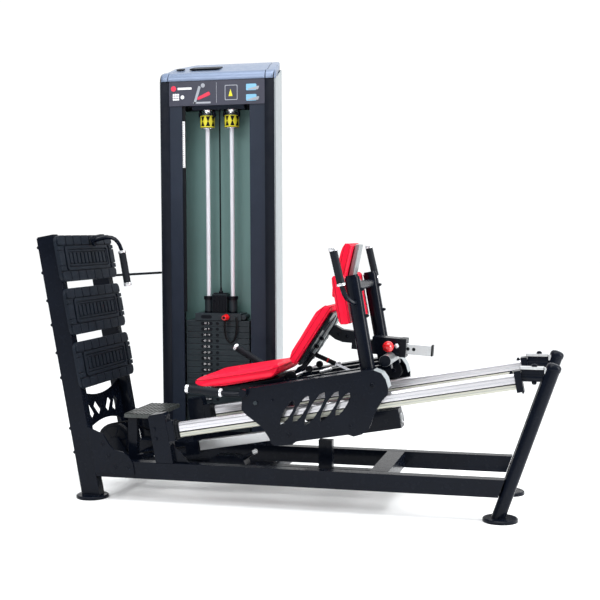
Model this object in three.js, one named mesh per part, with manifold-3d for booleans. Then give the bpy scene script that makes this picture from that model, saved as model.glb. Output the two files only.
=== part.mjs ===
// Selectorised leg press: a seat carriage rides up two inclined rails away from a fixed foot tower,
// and pulls a weight stack that stands in its own tower on the far side.
// Millimetres. +X runs from the foot tower to the rear posts, -Y is the near side, +Z is up.
import * as THREE from "three";
import { mergeVertices } from "three/addons/utils/BufferGeometryUtils.js";
import Module from "manifold-3d";

const wasm = await Module();
wasm.setup();

// ---------- driving dimensions ----------
const GAP = 0.5; // clearance between pieces that touch
const SLOPE = THREE.MathUtils.degToRad(10); // incline of the rails, and backward lean of the foot tower
const CENTRE_X = 850.2; // the whole machine is moved by this to stand on its middle
const CENTRE_Y = 208.5;

const FRAME_Y = 236; // centre planes of the two base rails
const TUBE_W = 50; // width of base rails and uprights across the machine
const BASE_LOW = 95;
const BASE_TOP = 165;
const WALL = 3;

const UPRIGHT_DEPTH = 80;
const UPRIGHT_S = 5;
const UPRIGHT_TOP = 1117;
const FLANGE_R = 68;
const FLANGE_H = 14;

const PLATE_HALF_W = 276;
const PLATE_FRONT = 66;
const PLATE_THICK = 20;
const PLATE_SPANS = [
  ["foot_plate_bottom", 462, 658],
  ["foot_plate_middle", 689, 887],
  ["foot_plate_top", 916, 1113],
];

const RAIL_Y = 233;
const RAIL_N = 231; // height of the rail's middle line, square to the slope
const RAIL_H = 62;
const RAIL_W = 42;
const RAIL_FROM = 398;
const RAIL_TO = 1845;

const POST_R = 26.5;
const POST_LEAN = 0.3486; // run over rise of the rear posts
const POST_FOOT_X = 1692;
const POST_FLANGE_X = 1704;
const POST_TOP_Z = 592.4;
const ARM_Z = 561; // middle line of the round arm that ties a rail's rear seat to its post

const SIDE_OUT = 289; // outer face of a carriage side plate
const SIDE_T = 8;
const SIDE_TOP = 361;
const SHROUD_DEPTH = 66;
const ROLLER_R = 37.5;
const ROLLER_N = RAIL_N + RAIL_H / 2 + ROLLER_R + GAP;

const DRIVE_N = 123;
const DRIVE_HALF = 20;
const DRIVE_FROM = 432;
const DRIVE_TO = 1330;

const SHOULDER_R = 30;
const SHOULDER_S = 1258;
const SHOULDER_Y = 192;
const SHOULDER_TOP = 738;

const PIVOT_X = 833; // backrest pivot
const PIVOT_Z = 516;
const DAMPER_FOOT = [1078, 534];
const DAMPER_SLOPE = 0.419;
const ADJUST_DROP = THREE.MathUtils.degToRad(4);
const ADJUST_X = 1225;
const ADJUST_Z = 643;
const PIN_RISE = 9; // height of the pull pin over the adjuster tube's middle line

const TOWER_X = 328;
const TOWER_HALF_FRONT = 283;
const TOWER_HALF_BACK = 225;
const TOWER_FRONT = 475;
const TOWER_BACK = 797;
const TOWER_EAVE = 1829; // height of the top cover's front lower edge
const HOOD_RISE = Math.tan(THREE.MathUtils.degToRad(14.5));
const OPENING = [155, 489];
const PLACARD_LOW = 1713;

const STACK_X = 320;
const STACK_HALF_W = 157.5;
const STACK_FRONT = 490;
const STACK_DEPTH = 98;
const STACK_LOW = 167;
const PLATES = 19;
const PITCH = 28;
const STACK_TOP = STACK_LOW + PLATES * PITCH;
const ROD_Y = 543;
const ROD_HALF = 60.5;
const ROD_R = 10.5;
const HEAD_LOW = STACK_TOP + GAP;
const HEAD_H = 33;
const CABLE_R = 3.5;
const LANYARD_R = 5;

// ---------- materials ----------
const finish = (color, roughness, metalness) =>
  new THREE.MeshStandardMaterial({ color, roughness, metalness });
const FRAME_PAINT = finish(0x20242c, 0.45, 0.3);
const RAIL_SILVER = finish(0xd8dade, 0.25, 0.9);
const RED_VINYL = finish(0xd80f22, 0.5, 0);
const GRIP_RUBBER = finish(0x33373b, 0.8, 0);
const TREAD_RUBBER = finish(0x2b2d30, 0.85, 0);
const CHROME = finish(0xe6e8ea, 0.12, 1);
const STACK_IRON = finish(0x2c3236, 0.6, 0.3);
const SAGE_PANEL = finish(0x78968c, 0.6, 0.1);
const SHROUD_GREY = finish(0xb9bdc4, 0.4, 0.5);
const BLACK_PLASTIC = finish(0x121317, 0.5, 0);
const KNOB_RED = finish(0xe01020, 0.35, 0);

// ---------- solids ----------
const Y_AXIS = new THREE.Vector3(0, 1, 0);
const slopeTurn = new THREE.Matrix4().makeRotationY(-SLOPE);

// A closed three.js geometry as a solid that can be joined and cut.
function solid(geometry, matrix) {
  const bare = new THREE.BufferGeometry();
  bare.setAttribute("position", geometry.getAttribute("position").clone());
  if (geometry.index) bare.setIndex(geometry.index.clone());
  if (matrix) bare.applyMatrix4(matrix);
  const merged = mergeVertices(bare, 1e-3);
  return new wasm.Manifold(
    new wasm.Mesh({
      numProp: 3,
      vertProperties: merged.attributes.position.array,
      triVerts: new Uint32Array(merged.index.array),
    }),
  );
}

function geometryOf(manifold) {
  const mesh = manifold.getMesh();
  const geometry = new THREE.BufferGeometry();
  geometry.setAttribute("position", new THREE.BufferAttribute(mesh.vertProperties, 3));
  geometry.setIndex(new THREE.BufferAttribute(mesh.triVerts, 1));
  geometry.computeVertexNormals();
  return geometry;
}

const join = (...parts) => parts.reduce((whole, next) => whole.add(next));
const cut = (whole, ...tools) => tools.reduce((left, tool) => left.subtract(tool), whole);

// A box from its low and high corners.
function box(x0, y0, z0, x1, y1, z1) {
  const geometry = new THREE.BoxGeometry(x1 - x0, y1 - y0, z1 - z0);
  geometry.translate((x0 + x1) / 2, (y0 + y1) / 2, (z0 + z1) / 2);
  return solid(geometry);
}

// A round bar between two points.
function rod(from, to, radius, sides = 20) {
  const a = new THREE.Vector3(...from);
  const b = new THREE.Vector3(...to);
  const way = b.clone().sub(a);
  const geometry = new THREE.CylinderGeometry(radius, radius, way.length(), sides);
  const turn = new THREE.Quaternion().setFromUnitVectors(Y_AXIS, way.clone().normalize());
  geometry.applyQuaternion(turn);
  const middle = a.add(b).multiplyScalar(0.5);
  geometry.translate(middle.x, middle.y, middle.z);
  return solid(geometry);
}

// An outline in the X-Z plane (or slope plane) given depth from y0 to y1.
function slab(points, y0, y1, holes = []) {
  const shape = new THREE.Shape(points.map(([x, z]) => new THREE.Vector2(x, z)));
  for (const hole of holes) {
    shape.holes.push(new THREE.Path(hole.map(([x, z]) => new THREE.Vector2(x, z))));
  }
  const geometry = new THREE.ExtrudeGeometry(shape, { depth: y1 - y0, bevelEnabled: false });
  geometry.rotateX(Math.PI / 2);
  geometry.translate(0, y1, 0);
  return solid(geometry);
}

// An outline in the X-Y plane given height from z0 to z1.
function prism(points, z0, z1) {
  const shape = new THREE.Shape(points.map(([x, y]) => new THREE.Vector2(x, y)));
  const geometry = new THREE.ExtrudeGeometry(shape, { depth: z1 - z0, bevelEnabled: false });
  geometry.translate(0, 0, z0);
  return solid(geometry);
}

// An outline in the Y-Z plane given width from x0 to x1.
function profile(points, x0, x1) {
  const shape = new THREE.Shape(points.map(([y, z]) => new THREE.Vector2(y, z)));
  const geometry = new THREE.ExtrudeGeometry(shape, { depth: x1 - x0, bevelEnabled: false });
  geometry.rotateX(Math.PI / 2);
  geometry.rotateZ(Math.PI / 2);
  geometry.translate(x0, 0, 0);
  return solid(geometry);
}

// Round bar bent along a smooth line through the given points.
function bentBar(points, radius, steps, sides = 8) {
  const path = new THREE.CatmullRomCurve3(points.map((p) => new THREE.Vector3(...p)));
  path.curveType = "centripetal";
  const ring = [];
  for (let i = 0; i < sides; i++) {
    const angle = (2 * Math.PI * i) / sides;
    ring.push(new THREE.Vector2(radius * Math.cos(angle), radius * Math.sin(angle)));
  }
  const geometry = new THREE.ExtrudeGeometry(new THREE.Shape(ring), { steps, extrudePath: path });
  return solid(geometry);
}

// A body of revolution about a line along Y.
function turnedAboutY(profilePoints, x, y, z, sides = 24) {
  const points = profilePoints.map(([r, along]) => new THREE.Vector2(r, along));
  const geometry = new THREE.LatheGeometry(points, sides);
  geometry.translate(x, y, z);
  return solid(geometry);
}

// A body of revolution about a vertical line.
function turnedAboutZ(profilePoints, x, y, z, sides = 24) {
  const points = profilePoints.map(([r, along]) => new THREE.Vector2(r, along));
  const geometry = new THREE.LatheGeometry(points, sides);
  geometry.rotateX(Math.PI / 2);
  geometry.translate(x, y, z);
  return solid(geometry);
}

const tilted = (part) => solid(geometryOf(part), slopeTurn);

// ---------- scene graph ----------
const machine = new THREE.Group();
machine.position.set(-CENTRE_X, -CENTRE_Y, 0);
const level = new THREE.Group(); // pieces drawn level
const sloped = new THREE.Group(); // pieces drawn square to the rails: X along the slope, Z square to it
sloped.rotation.y = -SLOPE;
machine.add(level, sloped);

function place(group, name, part, material) {
  const mesh = new THREE.Mesh(geometryOf(part), material);
  mesh.name = name;
  group.add(mesh);
}

const SIDES = [
  ["near", -1],
  ["far", 1],
];

// y0 and y1 measured outward from the middle plane, on one side of the machine.
const across = (side, y0, y1) => (side < 0 ? [-y1, -y0] : [y0, y1]);

// ---------- base frame ----------
const uprightFace = (z) => (UPRIGHT_S + UPRIGHT_DEPTH / 2 + GAP - z * Math.sin(SLOPE)) / Math.cos(SLOPE);
const postFace = (z) => POST_FOOT_X + POST_LEAN * z - POST_R / Math.cos(Math.atan(POST_LEAN)) - 2 * GAP;

// Base rail: a hollow rectangular tube, with the curved gusset that ties it to the upright.
function baseRail(side) {
  const ends = (low, high, extra) => [
    [uprightFace(low) - extra, low],
    [postFace(low) + extra, low],
    [postFace(high) + extra, high],
    [uprightFace(high) - extra, high],
  ];
  const outer = slab(ends(BASE_LOW, BASE_TOP, 0), ...across(side, FRAME_Y - TUBE_W / 2, FRAME_Y + TUBE_W / 2));
  const hollow = slab(
    ends(BASE_LOW + WALL, BASE_TOP - WALL, 60),
    ...across(side, FRAME_Y - TUBE_W / 2 + WALL, FRAME_Y + TUBE_W / 2 - WALL),
  );
  const gusset = slab(
    [
      [uprightFace(110), 110],
      [204, 110],
      [196, 160],
      [178, 188],
      [152, 205],
      [114, 211],
      [92, 232],
      [66, 276],
      [uprightFace(304), 304],
    ],
    ...across(side, FRAME_Y + TUBE_W / 2 - 2, FRAME_Y + TUBE_W / 2 + 6),
  );
  const rail = join(cut(outer, hollow), gusset);
  if (side < 0) return rail;
  return cut(rail, rod([101, FRAME_Y, 186], [101, FRAME_Y + 60, 186], 13, 12)); // the cable's way through
}

// Front upright: a leaning rectangular tube on a round floor flange.
function upright(side) {
  const span = across(side, FRAME_Y - TUBE_W / 2, FRAME_Y + TUBE_W / 2);
  const inner = across(side, FRAME_Y - TUBE_W / 2 + WALL, FRAME_Y + TUBE_W / 2 - WALL);
  const s0 = UPRIGHT_S - UPRIGHT_DEPTH / 2;
  const s1 = UPRIGHT_S + UPRIGHT_DEPTH / 2;
  const tube = cut(
    box(s0, span[0], -20, s1, span[1], UPRIGHT_TOP),
    box(s0 + WALL, inner[0], 60, s1 - WALL, inner[1], UPRIGHT_TOP - 6),
  );
  const cable = rod([UPRIGHT_S, inner[0], 80], [UPRIGHT_S, -inner[0], 80], 6, 8);
  const bottom = box(-200, -400, -100, 200, 400, FLANGE_H - 2);
  const flange = turnedAboutZ(
    [
      [0, 0],
      [FLANGE_R, 0],
      [FLANGE_R, FLANGE_H - 3],
      [FLANGE_R - 4, FLANGE_H],
      [0, FLANGE_H],
    ],
    0,
    side * FRAME_Y,
    0,
    28,
  );
  return join(cut(tilted(cut(tube, cable)), bottom), flange);
}

// Rear post: a leaning round tube on a floor flange, with a domed cap.
function rearPost(side) {
  const y = side * FRAME_Y;
  const foot = [POST_FOOT_X - POST_LEAN * 20, y, -20];
  const top = [POST_FOOT_X + POST_LEAN * POST_TOP_Z, y, POST_TOP_Z];
  const way = new THREE.Vector3(POST_LEAN, 0, 1).normalize();
  const up = (t) => [top[0] + way.x * t, y, top[2] + way.z * t];
  const tube = rod(foot, top, POST_R, 24);
  const cap = join(rod(up(-2), up(12), POST_R + 1.5, 24), rod(up(12), up(21), POST_R - 6, 24));
  const bottom = box(1500, -400, -60, 1900, 400, FLANGE_H - 2);
  const flange = turnedAboutZ(
    [
      [0, 0],
      [FLANGE_R, 0],
      [FLANGE_R, FLANGE_H - 3],
      [FLANGE_R - 4, FLANGE_H],
      [0, FLANGE_H],
    ],
    POST_FLANGE_X,
    y,
    0,
    28,
  );
  return join(cut(join(tube, cap), bottom), flange);
}

// Rail seat at the front: a post square to the rail, a collar round the rail's end and a gusset.
function railBracket(side) {
  const span = across(side, RAIL_Y - 30, RAIL_Y + 30);
  const floorLine = (s) => (BASE_TOP + GAP - s * Math.sin(SLOPE)) / Math.cos(SLOPE);
  const post = slab(
    [
      [322, floorLine(322)],
      [396, floorLine(396)],
      [396, 300],
      [388, 310],
      [330, 310],
      [322, 302],
    ],
    ...span,
  );
  const gusset = slab(
    [
      [395, floorLine(395)],
      [456, floorLine(456)],
      [395, 182],
    ],
    ...across(side, RAIL_Y - 4, RAIL_Y + 4),
  );
  const collar = box(395, ...[span[0] + 2, RAIL_N - 42], 424, ...[span[1] - 2, RAIL_N + 42]);
  const seat = box(
    396,
    ...[side * RAIL_Y - RAIL_W / 2 - GAP, RAIL_N - RAIL_H / 2 - GAP],
    430,
    ...[side * RAIL_Y + RAIL_W / 2 + GAP, RAIL_N + RAIL_H / 2 + GAP],
  );
  return join(post, gusset, cut(collar, seat));
}

// Guide rail: a silver section with a shallow groove along each side.
function slideRail(side) {
  const y = side * RAIL_Y;
  const half = RAIL_W / 2;
  const corner = 9;
  const low = RAIL_N - RAIL_H / 2;
  const high = RAIL_N + RAIL_H / 2;
  const outline = [
    [y - half + corner, low],
    [y + half - corner, low],
    [y + half, low + corner],
    [y + half, RAIL_N - 5],
    [y + half - 2, RAIL_N - 3],
    [y + half, RAIL_N - 1],
    [y + half, high - corner],
    [y + half - corner, high],
    [y - half + corner, high],
    [y - half, high - corner],
    [y - half, RAIL_N - 1],
    [y - half + 2, RAIL_N - 3],
    [y - half, RAIL_N - 5],
    [y - half, low + corner],
  ];
  const bar = profile(outline, RAIL_FROM, RAIL_TO);
  const bore = box(RAIL_FROM - 5, y - half + 5, low + 9, RAIL_TO + 5, y + half - 5, high - 9);
  return cut(bar, bore);
}

// Rear seat of a rail: end plate and collar, and the round arm to the rear post under a bolted clamp bar.
function rearBracket(side) {
  const span = across(side, RAIL_Y - 32, RAIL_Y + 32);
  const plate = tilted(box(RAIL_TO + GAP, span[0], RAIL_N - 47, RAIL_TO + 7, span[1], RAIL_N + 41));
  const collar = box(RAIL_TO - 19, span[0] + 3, RAIL_N - 42, RAIL_TO + 2, span[1] - 3, RAIL_N + 41);
  const seat = box(
    RAIL_TO - 30,
    ...[side * RAIL_Y - RAIL_W / 2 - GAP, RAIL_N - RAIL_H / 2 - GAP],
    RAIL_TO + GAP / 2,
    ...[side * RAIL_Y + RAIL_W / 2 + GAP, RAIL_N + RAIL_H / 2 + GAP],
  );
  const y = side * RAIL_Y;
  const arm = rod([1778.5, y, ARM_Z], [1885, y, ARM_Z], 17, 20);
  const block = box(1780, y - 14, ARM_Z + 12, 1862, y + 14, ARM_Z + 31);
  const clamp = box(1775, y - 18, ARM_Z + 30, 1864, y + 18, ARM_Z + 41);
  const wedge = box(1862, y - 14, ARM_Z + 12, 1890, y + 14, ARM_Z + 38);
  const bolt = join(
    rod([1828, y, ARM_Z - 26], [1828, y, ARM_Z + 50], 8, 12),
    rod([1828, y, ARM_Z + 40], [1828, y, ARM_Z + 49], 11, 12),
  );
  const post = rod(
    [POST_FOOT_X, side * FRAME_Y, 0],
    [POST_FOOT_X + POST_LEAN * 700, side * FRAME_Y, 700],
    POST_R + 2 + GAP,
    24,
  );
  return join(plate, tilted(cut(collar, seat)), cut(join(arm, block, clamp, wedge), post), bolt);
}

function footPlate(low, high) {
  const s0 = PLATE_FRONT - PLATE_THICK;
  const r = 12;
  const w = PLATE_HALF_W;
  const outline = [
    [-w + r, low],
    [w - r, low],
    [w, low + r],
    [w, high - r],
    [w - r, high],
    [-w + r, high],
    [-w, high - r],
    [-w, low + r],
  ];
  return profile(outline, s0, PLATE_FRONT);
}

// Cross panel between the uprights: dished top edge, four fanned slots, and a wide arch over the pulley.
function lowerPanel() {
  const half = FRAME_Y - TUBE_W / 2 - GAP;
  const outline = [[-half, 178], [-172, 178]];
  for (let i = 0; i <= 10; i++) {
    const y = -160 + 32 * i;
    outline.push([y, 302 - 17 * (y / 140) ** 2]);
  }
  outline.push([172, 178], [half, 178]);
  for (let i = 0; i <= 10; i++) {
    const y = half * (1 - i / 5);
    outline.push([y, 415 + 20 * (y / 150) ** 2]);
  }
  let panel = profile(outline, 4, 7);
  const slots = [
    [144, 375, 109, 328],
    [78, 378, 39, 335],
  ];
  for (const [y0, n0, y1, n1] of slots) {
    for (const side of [-1, 1]) {
      const tip = new THREE.Vector2(y0 - y1, n0 - n1).normalize();
      const w = 14;
      const slot = [
        [side * (y0 - tip.y * w), n0 + tip.x * w],
        [side * (y1 - tip.y * w), n1 + tip.x * w],
        [side * (y1 + tip.y * w), n1 - tip.x * w],
        [side * (y0 + tip.y * w), n0 - tip.x * w],
      ];
      if (side < 0) slot.reverse();
      panel = panel.subtract(profile(slot, -20, 30));
    }
  }
  return panel;
}

// Cross member at the front with the pulley's two cheeks and the drive tube's stop, and the beam along
// the floor behind it with a low housing, its peg, and a short post under the drive tube.
function pulleyCarrier() {
  const bar = box(60, -FRAME_Y + TUBE_W / 2 + GAP, 98, 110, FRAME_Y - TUBE_W / 2 - GAP, 126);
  const cheeks = [-1, 1].map((side) =>
    tilted(
      slab(
        [
          [60, 90],
          [112, 90],
          [60, 212],
          [22, 212],
          [22, 184],
        ],
        ...across(side, 14.5, 22),
      ),
    ),
  );
  const axle = tilted(rod([36, -22, 198], [36, 22, 198], 8, 12));
  const spine = tilted(box(105, -22, 88, 372, 22, 100));
  const stop = tilted(cut(box(370, -30, 88, 428, 30, 146), rod([360, 0, DRIVE_N], [440, 0, DRIVE_N], 9, 12)));
  const beam = box(108, -22, 100, 1187 - GAP, 22, 126);
  const post = box(932, -18, 120, 990, 18, 244);
  const housing = slab(
    [
      [455, 122],
      [620, 122],
      [602, 150],
      [560, 162],
      [478, 158],
      [455, 140],
    ],
    -38,
    38,
  );
  const peg = rod([585, 0, 138], [650, 0, 180], 9, 14);
  return join(bar, ...cheeks, axle, spine, stop, beam, post, housing, peg);
}

// Grooved wheel about a line along Y, bored for its axle.
function pulley(x, z, radius, groove, halfWidth, bore) {
  return turnedAboutY(
    [
      [bore, -halfWidth],
      [radius, -halfWidth],
      [radius, -halfWidth + 3],
      [groove, -2],
      [groove, 2],
      [radius, halfWidth - 3],
      [radius, halfWidth],
      [bore, halfWidth],
      [bore, -halfWidth],
    ],
    x,
    0,
    z,
    24,
  );
}

function buildBase() {
  for (const [word, side] of SIDES) {
    place(level, "base_rail_" + word, baseRail(side), FRAME_PAINT);
    place(level, "upright_" + word, upright(side), FRAME_PAINT);
    place(level, "rear_post_" + word, rearPost(side), FRAME_PAINT);
    place(level, "rear_bracket_" + word, rearBracket(side), FRAME_PAINT);
    place(sloped, "rail_bracket_" + word, railBracket(side), FRAME_PAINT);
    place(sloped, "slide_rail_" + word, slideRail(side), RAIL_SILVER);
  }
  const inside = FRAME_Y - TUBE_W / 2 - GAP;
  const crossbar = cut(
    box(1187, -inside, BASE_LOW + 5, 1262, inside, BASE_TOP),
    box(1187 + WALL, -inside - 5, BASE_LOW + 5 + WALL, 1262 - WALL, inside + 5, BASE_TOP - WALL),
  );
  place(level, "base_crossbar", crossbar, FRAME_PAINT);
  for (const [name, low, high] of PLATE_SPANS) {
    place(sloped, name, footPlate(low, high), TREAD_RUBBER);
  }
  place(sloped, "lower_cross_panel", lowerPanel(), FRAME_PAINT);
  place(level, "pulley_carrier", pulleyCarrier(), FRAME_PAINT);
  place(sloped, "front_pulley", pulley(36, 198, 76, 69, 12, 9), BLACK_PLASTIC);
  const step = join(
    box(131, -197, 340, 263, 118, 352),
    box(140, -178, 170, 180, -150, 342),
    box(140, -178, BASE_TOP + GAP, 200, -150, 180),
    box(140, -210, BASE_TOP - 30, 200, -150, BASE_TOP - 20),
    box(140, -178, BASE_TOP - 30, 200, -150, 180),
  );
  place(level, "step_plate", step, TREAD_RUBBER);
  const assist = join(
    bentBar(
      [
        [-104, 45, 1083],
        [-40, 45, 1097],
        [-8, 45, 1090],
        [14, 45, 1066],
        [28, 45, 1030],
      ],
      9,
      10,
    ),
    rod([27, 45, 1032], [51, 45, 893], 14, 12),
    rod([50, 45, 896], [52.5, 45, 884], 15, 12),
    rod([-112.5, 45, 1081], [-103, 45, 1083], 24, 16),
  );
  place(level, "assist_handle", assist, GRIP_RUBBER);
  place(level, "brace_rod", rod([-157, FRAME_Y + 32, 917], [42, 542, 925], 6, 10), FRAME_PAINT);
}

// ---------- drive tube and carriage ----------
function driveTube() {
  const tube = cut(
    box(DRIVE_FROM, -DRIVE_HALF, DRIVE_N - DRIVE_HALF, DRIVE_TO, DRIVE_HALF, DRIVE_N + DRIVE_HALF),
    box(DRIVE_FROM + 6, -DRIVE_HALF + 3, DRIVE_N - DRIVE_HALF + 3, DRIVE_TO + 5, DRIVE_HALF - 3, DRIVE_N + DRIVE_HALF - 3),
  );
  return tube;
}

const SIDE_OUTLINE = [
  [752, 346],
  [738, 280],
  [756, 255],
  [809, 201],
  [831, 155],
  [838, 128],
  [850, 118],
  [922, 113],
  [941, 123],
  [1154, 122],
  [1175, 112],
  [1210, 116],
  [1244, 137],
  [1277, 196],
  [1313, 237],
  [1340, 258],
  [1344, 282],
  [1340, 316],
  [1327, 342],
  [1297, 359],
  [1270, SIDE_TOP],
  [775, SIDE_TOP],
];

// Leaf-shaped opening from its low tip to its high tip.
function leaf(s0, n0, s1, n1, fat) {
  const ds = s1 - s0;
  const dn = n1 - n0;
  const long = Math.hypot(ds, dn);
  const point = (t, w) => [s0 + ds * t - (dn / long) * w, n0 + dn * t + (ds / long) * w];
  const near = [0, 0.12, 0.3, 0.6, 0.88, 1];
  const width = [0, 0.55, 0.9, 1, 0.7, 0];
  const right = near.map((t, i) => point(t, (-width[i] * fat) / 2));
  const left = near.map((t, i) => point(t, (width[i] * fat) / 2));
  return [...right, ...left.reverse().slice(1, -1)];
}

const LEAVES = [
  [887, 199, 964, 288, 30],
  [940, 199, 1024, 296, 32],
  [986, 182, 1091, 302, 36],
  [1052, 188, 1147, 298, 34],
  [1116, 200, 1190, 286, 30],
];

// Carriage side: a pierced plate with a folded rim along its top and round its rear corner.
function carriageSide(side) {
  const plate = slab(SIDE_OUTLINE, ...across(side, SIDE_OUT - SIDE_T, SIDE_OUT));
  const pierced = LEAVES.reduce(
    (left, l) => left.subtract(slab(leaf(...l), ...across(side, SIDE_OUT - 40, SIDE_OUT + 40))),
    plate,
  );
  const rim = slab(
    [
      [756, 346],
      [775, SIDE_TOP],
      [1270, SIDE_TOP],
      [1297, 359],
      [1327, 342],
      [1340, 316],
      [1344, 282],
      [1338, 282],
      [1334, 314],
      [1322, 338],
      [1294, 353],
      [1270, SIDE_TOP - 6],
      [777, SIDE_TOP - 6],
      [761, 343],
    ],
    ...across(side, SIDE_OUT - SIDE_T - SHROUD_DEPTH, SIDE_OUT - 1),
  );
  const axles = [802, 1284].map((s) =>
    rod([s, side * (SIDE_OUT + 5), ROLLER_N], [s, side * (SIDE_OUT - 80), ROLLER_N], 8, 12),
  );
  return join(pierced, rim, ...axles);
}

function roller(s, side) {
  return turnedAboutY(
    [
      [8 + GAP, -20],
      [ROLLER_R - 2, -20],
      [ROLLER_R, -17],
      [ROLLER_R, 17],
      [ROLLER_R - 2, 20],
      [8 + GAP, 20],
      [8 + GAP, -20],
    ],
    s,
    side * RAIL_Y,
    ROLLER_N,
    28,
  );
}

// Carriage frame: cross tubes, two long bars, drive sleeves, seat board and backrest ears.
function carriageFrame() {
  const reach = SIDE_OUT - SIDE_T - GAP;
  const tubes = [860, 1190].map((s) => box(s - 20, -reach, 310, s + 20, reach, 350));
  const bars = [-1, 1].map((side) => {
    const [y0, y1] = across(side, 81, 119);
    return box(690, y0, 338, 1338, y1, 358);
  });
  const board = box(560, -165, 360, 878, 165, 372);
  const boardFeet = [-1, 1].map((side) => {
    const [y0, y1] = across(side, 81, 119);
    return box(700, y0, 350, 870, y1, 364);
  });
  const rearSleeve = box(1160, -40, DRIVE_N - 40, 1322, 40, DRIVE_N + 40);
  const frontSleeve = box(850, -32, DRIVE_N - 32, 925, 32, DRIVE_N + 32);
  const bore = box(
    800,
    ...[-DRIVE_HALF - 1.5, DRIVE_N - DRIVE_HALF - 1.5],
    1400,
    ...[DRIVE_HALF + 1.5, DRIVE_N + DRIVE_HALF + 1.5],
  );
  const hangers = [
    box(1170, -30, DRIVE_N + 35, 1210, 30, 320),
    box(852, -30, DRIVE_N + 28, 880, 30, 320),
  ];
  const crossTube = rod([1325, -160, 376], [1325, 160, 376], 23, 20);
  return cut(
    join(...tubes, ...bars, board, ...boardFeet, rearSleeve, frontSleeve, ...hangers, crossTube),
    bore,
  );
}

// Sleeve of the backrest adjuster, standing on the carriage's rear cross tube.
function adjusterSleeve() {
  const body = box(-62, -36, -32, 52, 36, 40);
  const collar = box(50, -30, -28, 74, 30, 32);
  return join(body, collar);
}

// Space inside the adjuster sleeve: the square bore and the pull pin's hole.
function adjusterBore() {
  return join(box(-120, -24, -24, 130, 24, 24), rod([14, -60, PIN_RISE], [14, -20, PIN_RISE], 7.5, 12));
}

const adjustTurn = new THREE.Matrix4()
  .makeTranslation(ADJUST_X, 0, ADJUST_Z)
  .multiply(new THREE.Matrix4().makeRotationY(ADJUST_DROP));
const adjusted = (part) => solid(geometryOf(part), adjustTurn);

// Adjuster tube: square tube with pin holes, and the bent link that reaches the back frame.
function adjusterTube() {
  const tube = box(-150, -22, -22, 186, 22, 22);
  const hollow = box(-140, -18, -18, 200, 18, 18);
  let out = cut(tube, hollow);
  for (let i = 0; i < 5; i++) {
    const x = 14 + i * 24;
    out = out.subtract(rod([x, -40, 0], [x, 40, 0], 6.5, 8));
  }
  const link = slab(
    [
      [-254, 33],
      [-232, 70],
      [-222, 68],
      [-191, 54],
      [-128, 52],
      [-128, 18],
      [-150, 3],
      [-190, 4],
      [-222, 12],
    ],
    -19,
    19,
  );
  return join(out, link);
}

function seatPad() {
  const outline = [
    [515, 402],
    [524, 420],
    [560, 424],
    [852, 424],
    [886, 430],
    [903, 428],
    [906, 412],
    [886, 398],
    [852, 376],
    [640, 374],
    [560, 384],
    [522, 394],
  ];
  return slab(outline, -198, 198);
}

const backLine = new THREE.Vector2(141, 215).normalize(); // along the backrest, level frame

// Back pad and frame are drawn from the pad's lower front corner: u along the pad, v rearward.
function backPoint(u, v) {
  return [827 + backLine.x * u + backLine.y * v, 600 + backLine.y * u - backLine.x * v];
}

function backPad() {
  const outline = [
    backPoint(0, 4),
    backPoint(250, 0),
    backPoint(276, 8),
    backPoint(288, 24),
    backPoint(284, 42),
    backPoint(270, 50),
    backPoint(0, 50),
    backPoint(-8, 30),
  ];
  return slab(outline, -150, 150);
}

function backFrame() {
  const board = slab(
    [backPoint(4, 51), backPoint(262, 51), backPoint(262, 61), backPoint(4, 61)],
    -130,
    130,
  );
  const ribs = [-1, 1].map((side) =>
    slab(
      [
        backPoint(20, 60),
        backPoint(250, 60),
        backPoint(209, 70),
        backPoint(60, 72),
        [PIVOT_X + 16, PIVOT_Z + 2],
        [PIVOT_X + 6, PIVOT_Z - 10],
        [PIVOT_X - 8, PIVOT_Z - 4],
        [PIVOT_X - 2, PIVOT_Z + 12],
      ],
      ...across(side, 24, 36),
    ),
  );
  const pivot = rod([PIVOT_X, -79, PIVOT_Z], [PIVOT_X, 79, PIVOT_Z], 13, 16);
  return join(board, ...ribs, pivot);
}

function headPad() {
  return slab(
    [
      [1000, 851],
      [1050, 1062],
      [1064, 1076],
      [1080, 1074],
      [1094, 1062],
      [1046, 852],
      [1024, 838],
    ],
    -100,
    100,
  );
}

// Head support: a silver bar behind the head pad on a cross tube between the shoulder posts.
function headFrame() {
  const bar = slab(
    [
      [1047.5, 856],
      [1096, 1066],
      [1113, 1064],
      [1086, 934],
      [1119, 908],
      [1119, 888],
      [1078, 852],
    ],
    -40,
    40,
  );
  const cross = rod([1119, -161, 898], [1119, 161, 898], 18, 16);
  return join(bar, cross);
}

// Shoulder post, its domed cap and the bent bar of the upper hand grip.
function shoulderPost(side) {
  const y = side * SHOULDER_Y;
  const tube = rod([SHOULDER_S, y, SIDE_TOP + GAP], [SHOULDER_S, y, SHOULDER_TOP - 8], SHOULDER_R, 24);
  const cap = rod([SHOULDER_S, y, SHOULDER_TOP - 9], [SHOULDER_S, y, SHOULDER_TOP], SHOULDER_R - 4, 24);
  const bar = bentBar(
    [
      [SHOULDER_S, side * (SHOULDER_Y + 20), 626],
      [SHOULDER_S - 3, side * 290, 640],
      [SHOULDER_S - 7, side * 345, 664],
      [SHOULDER_S - 11, side * 366, 712],
    ],
    10,
    9,
  );
  const grip = rod([SHOULDER_S - 11, side * 366, 708], [SHOULDER_S - 18, side * 367, 842], 15, 14);
  const end = rod([SHOULDER_S - 18, side * 367, 840], [SHOULDER_S - 19, side * 367, 854], 16, 14);
  return join(tube, cap, bar, grip, end);
}

function shoulderPad(side) {
  const outline = [
    [1172, 742],
    [1182, 752],
    [1212, 750],
    [1227, 738],
    [1227, 560],
    [1220, 545],
    [1180, 545],
    [1171, 556],
  ];
  return slab(outline, ...across(side, 106, 204));
}

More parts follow.
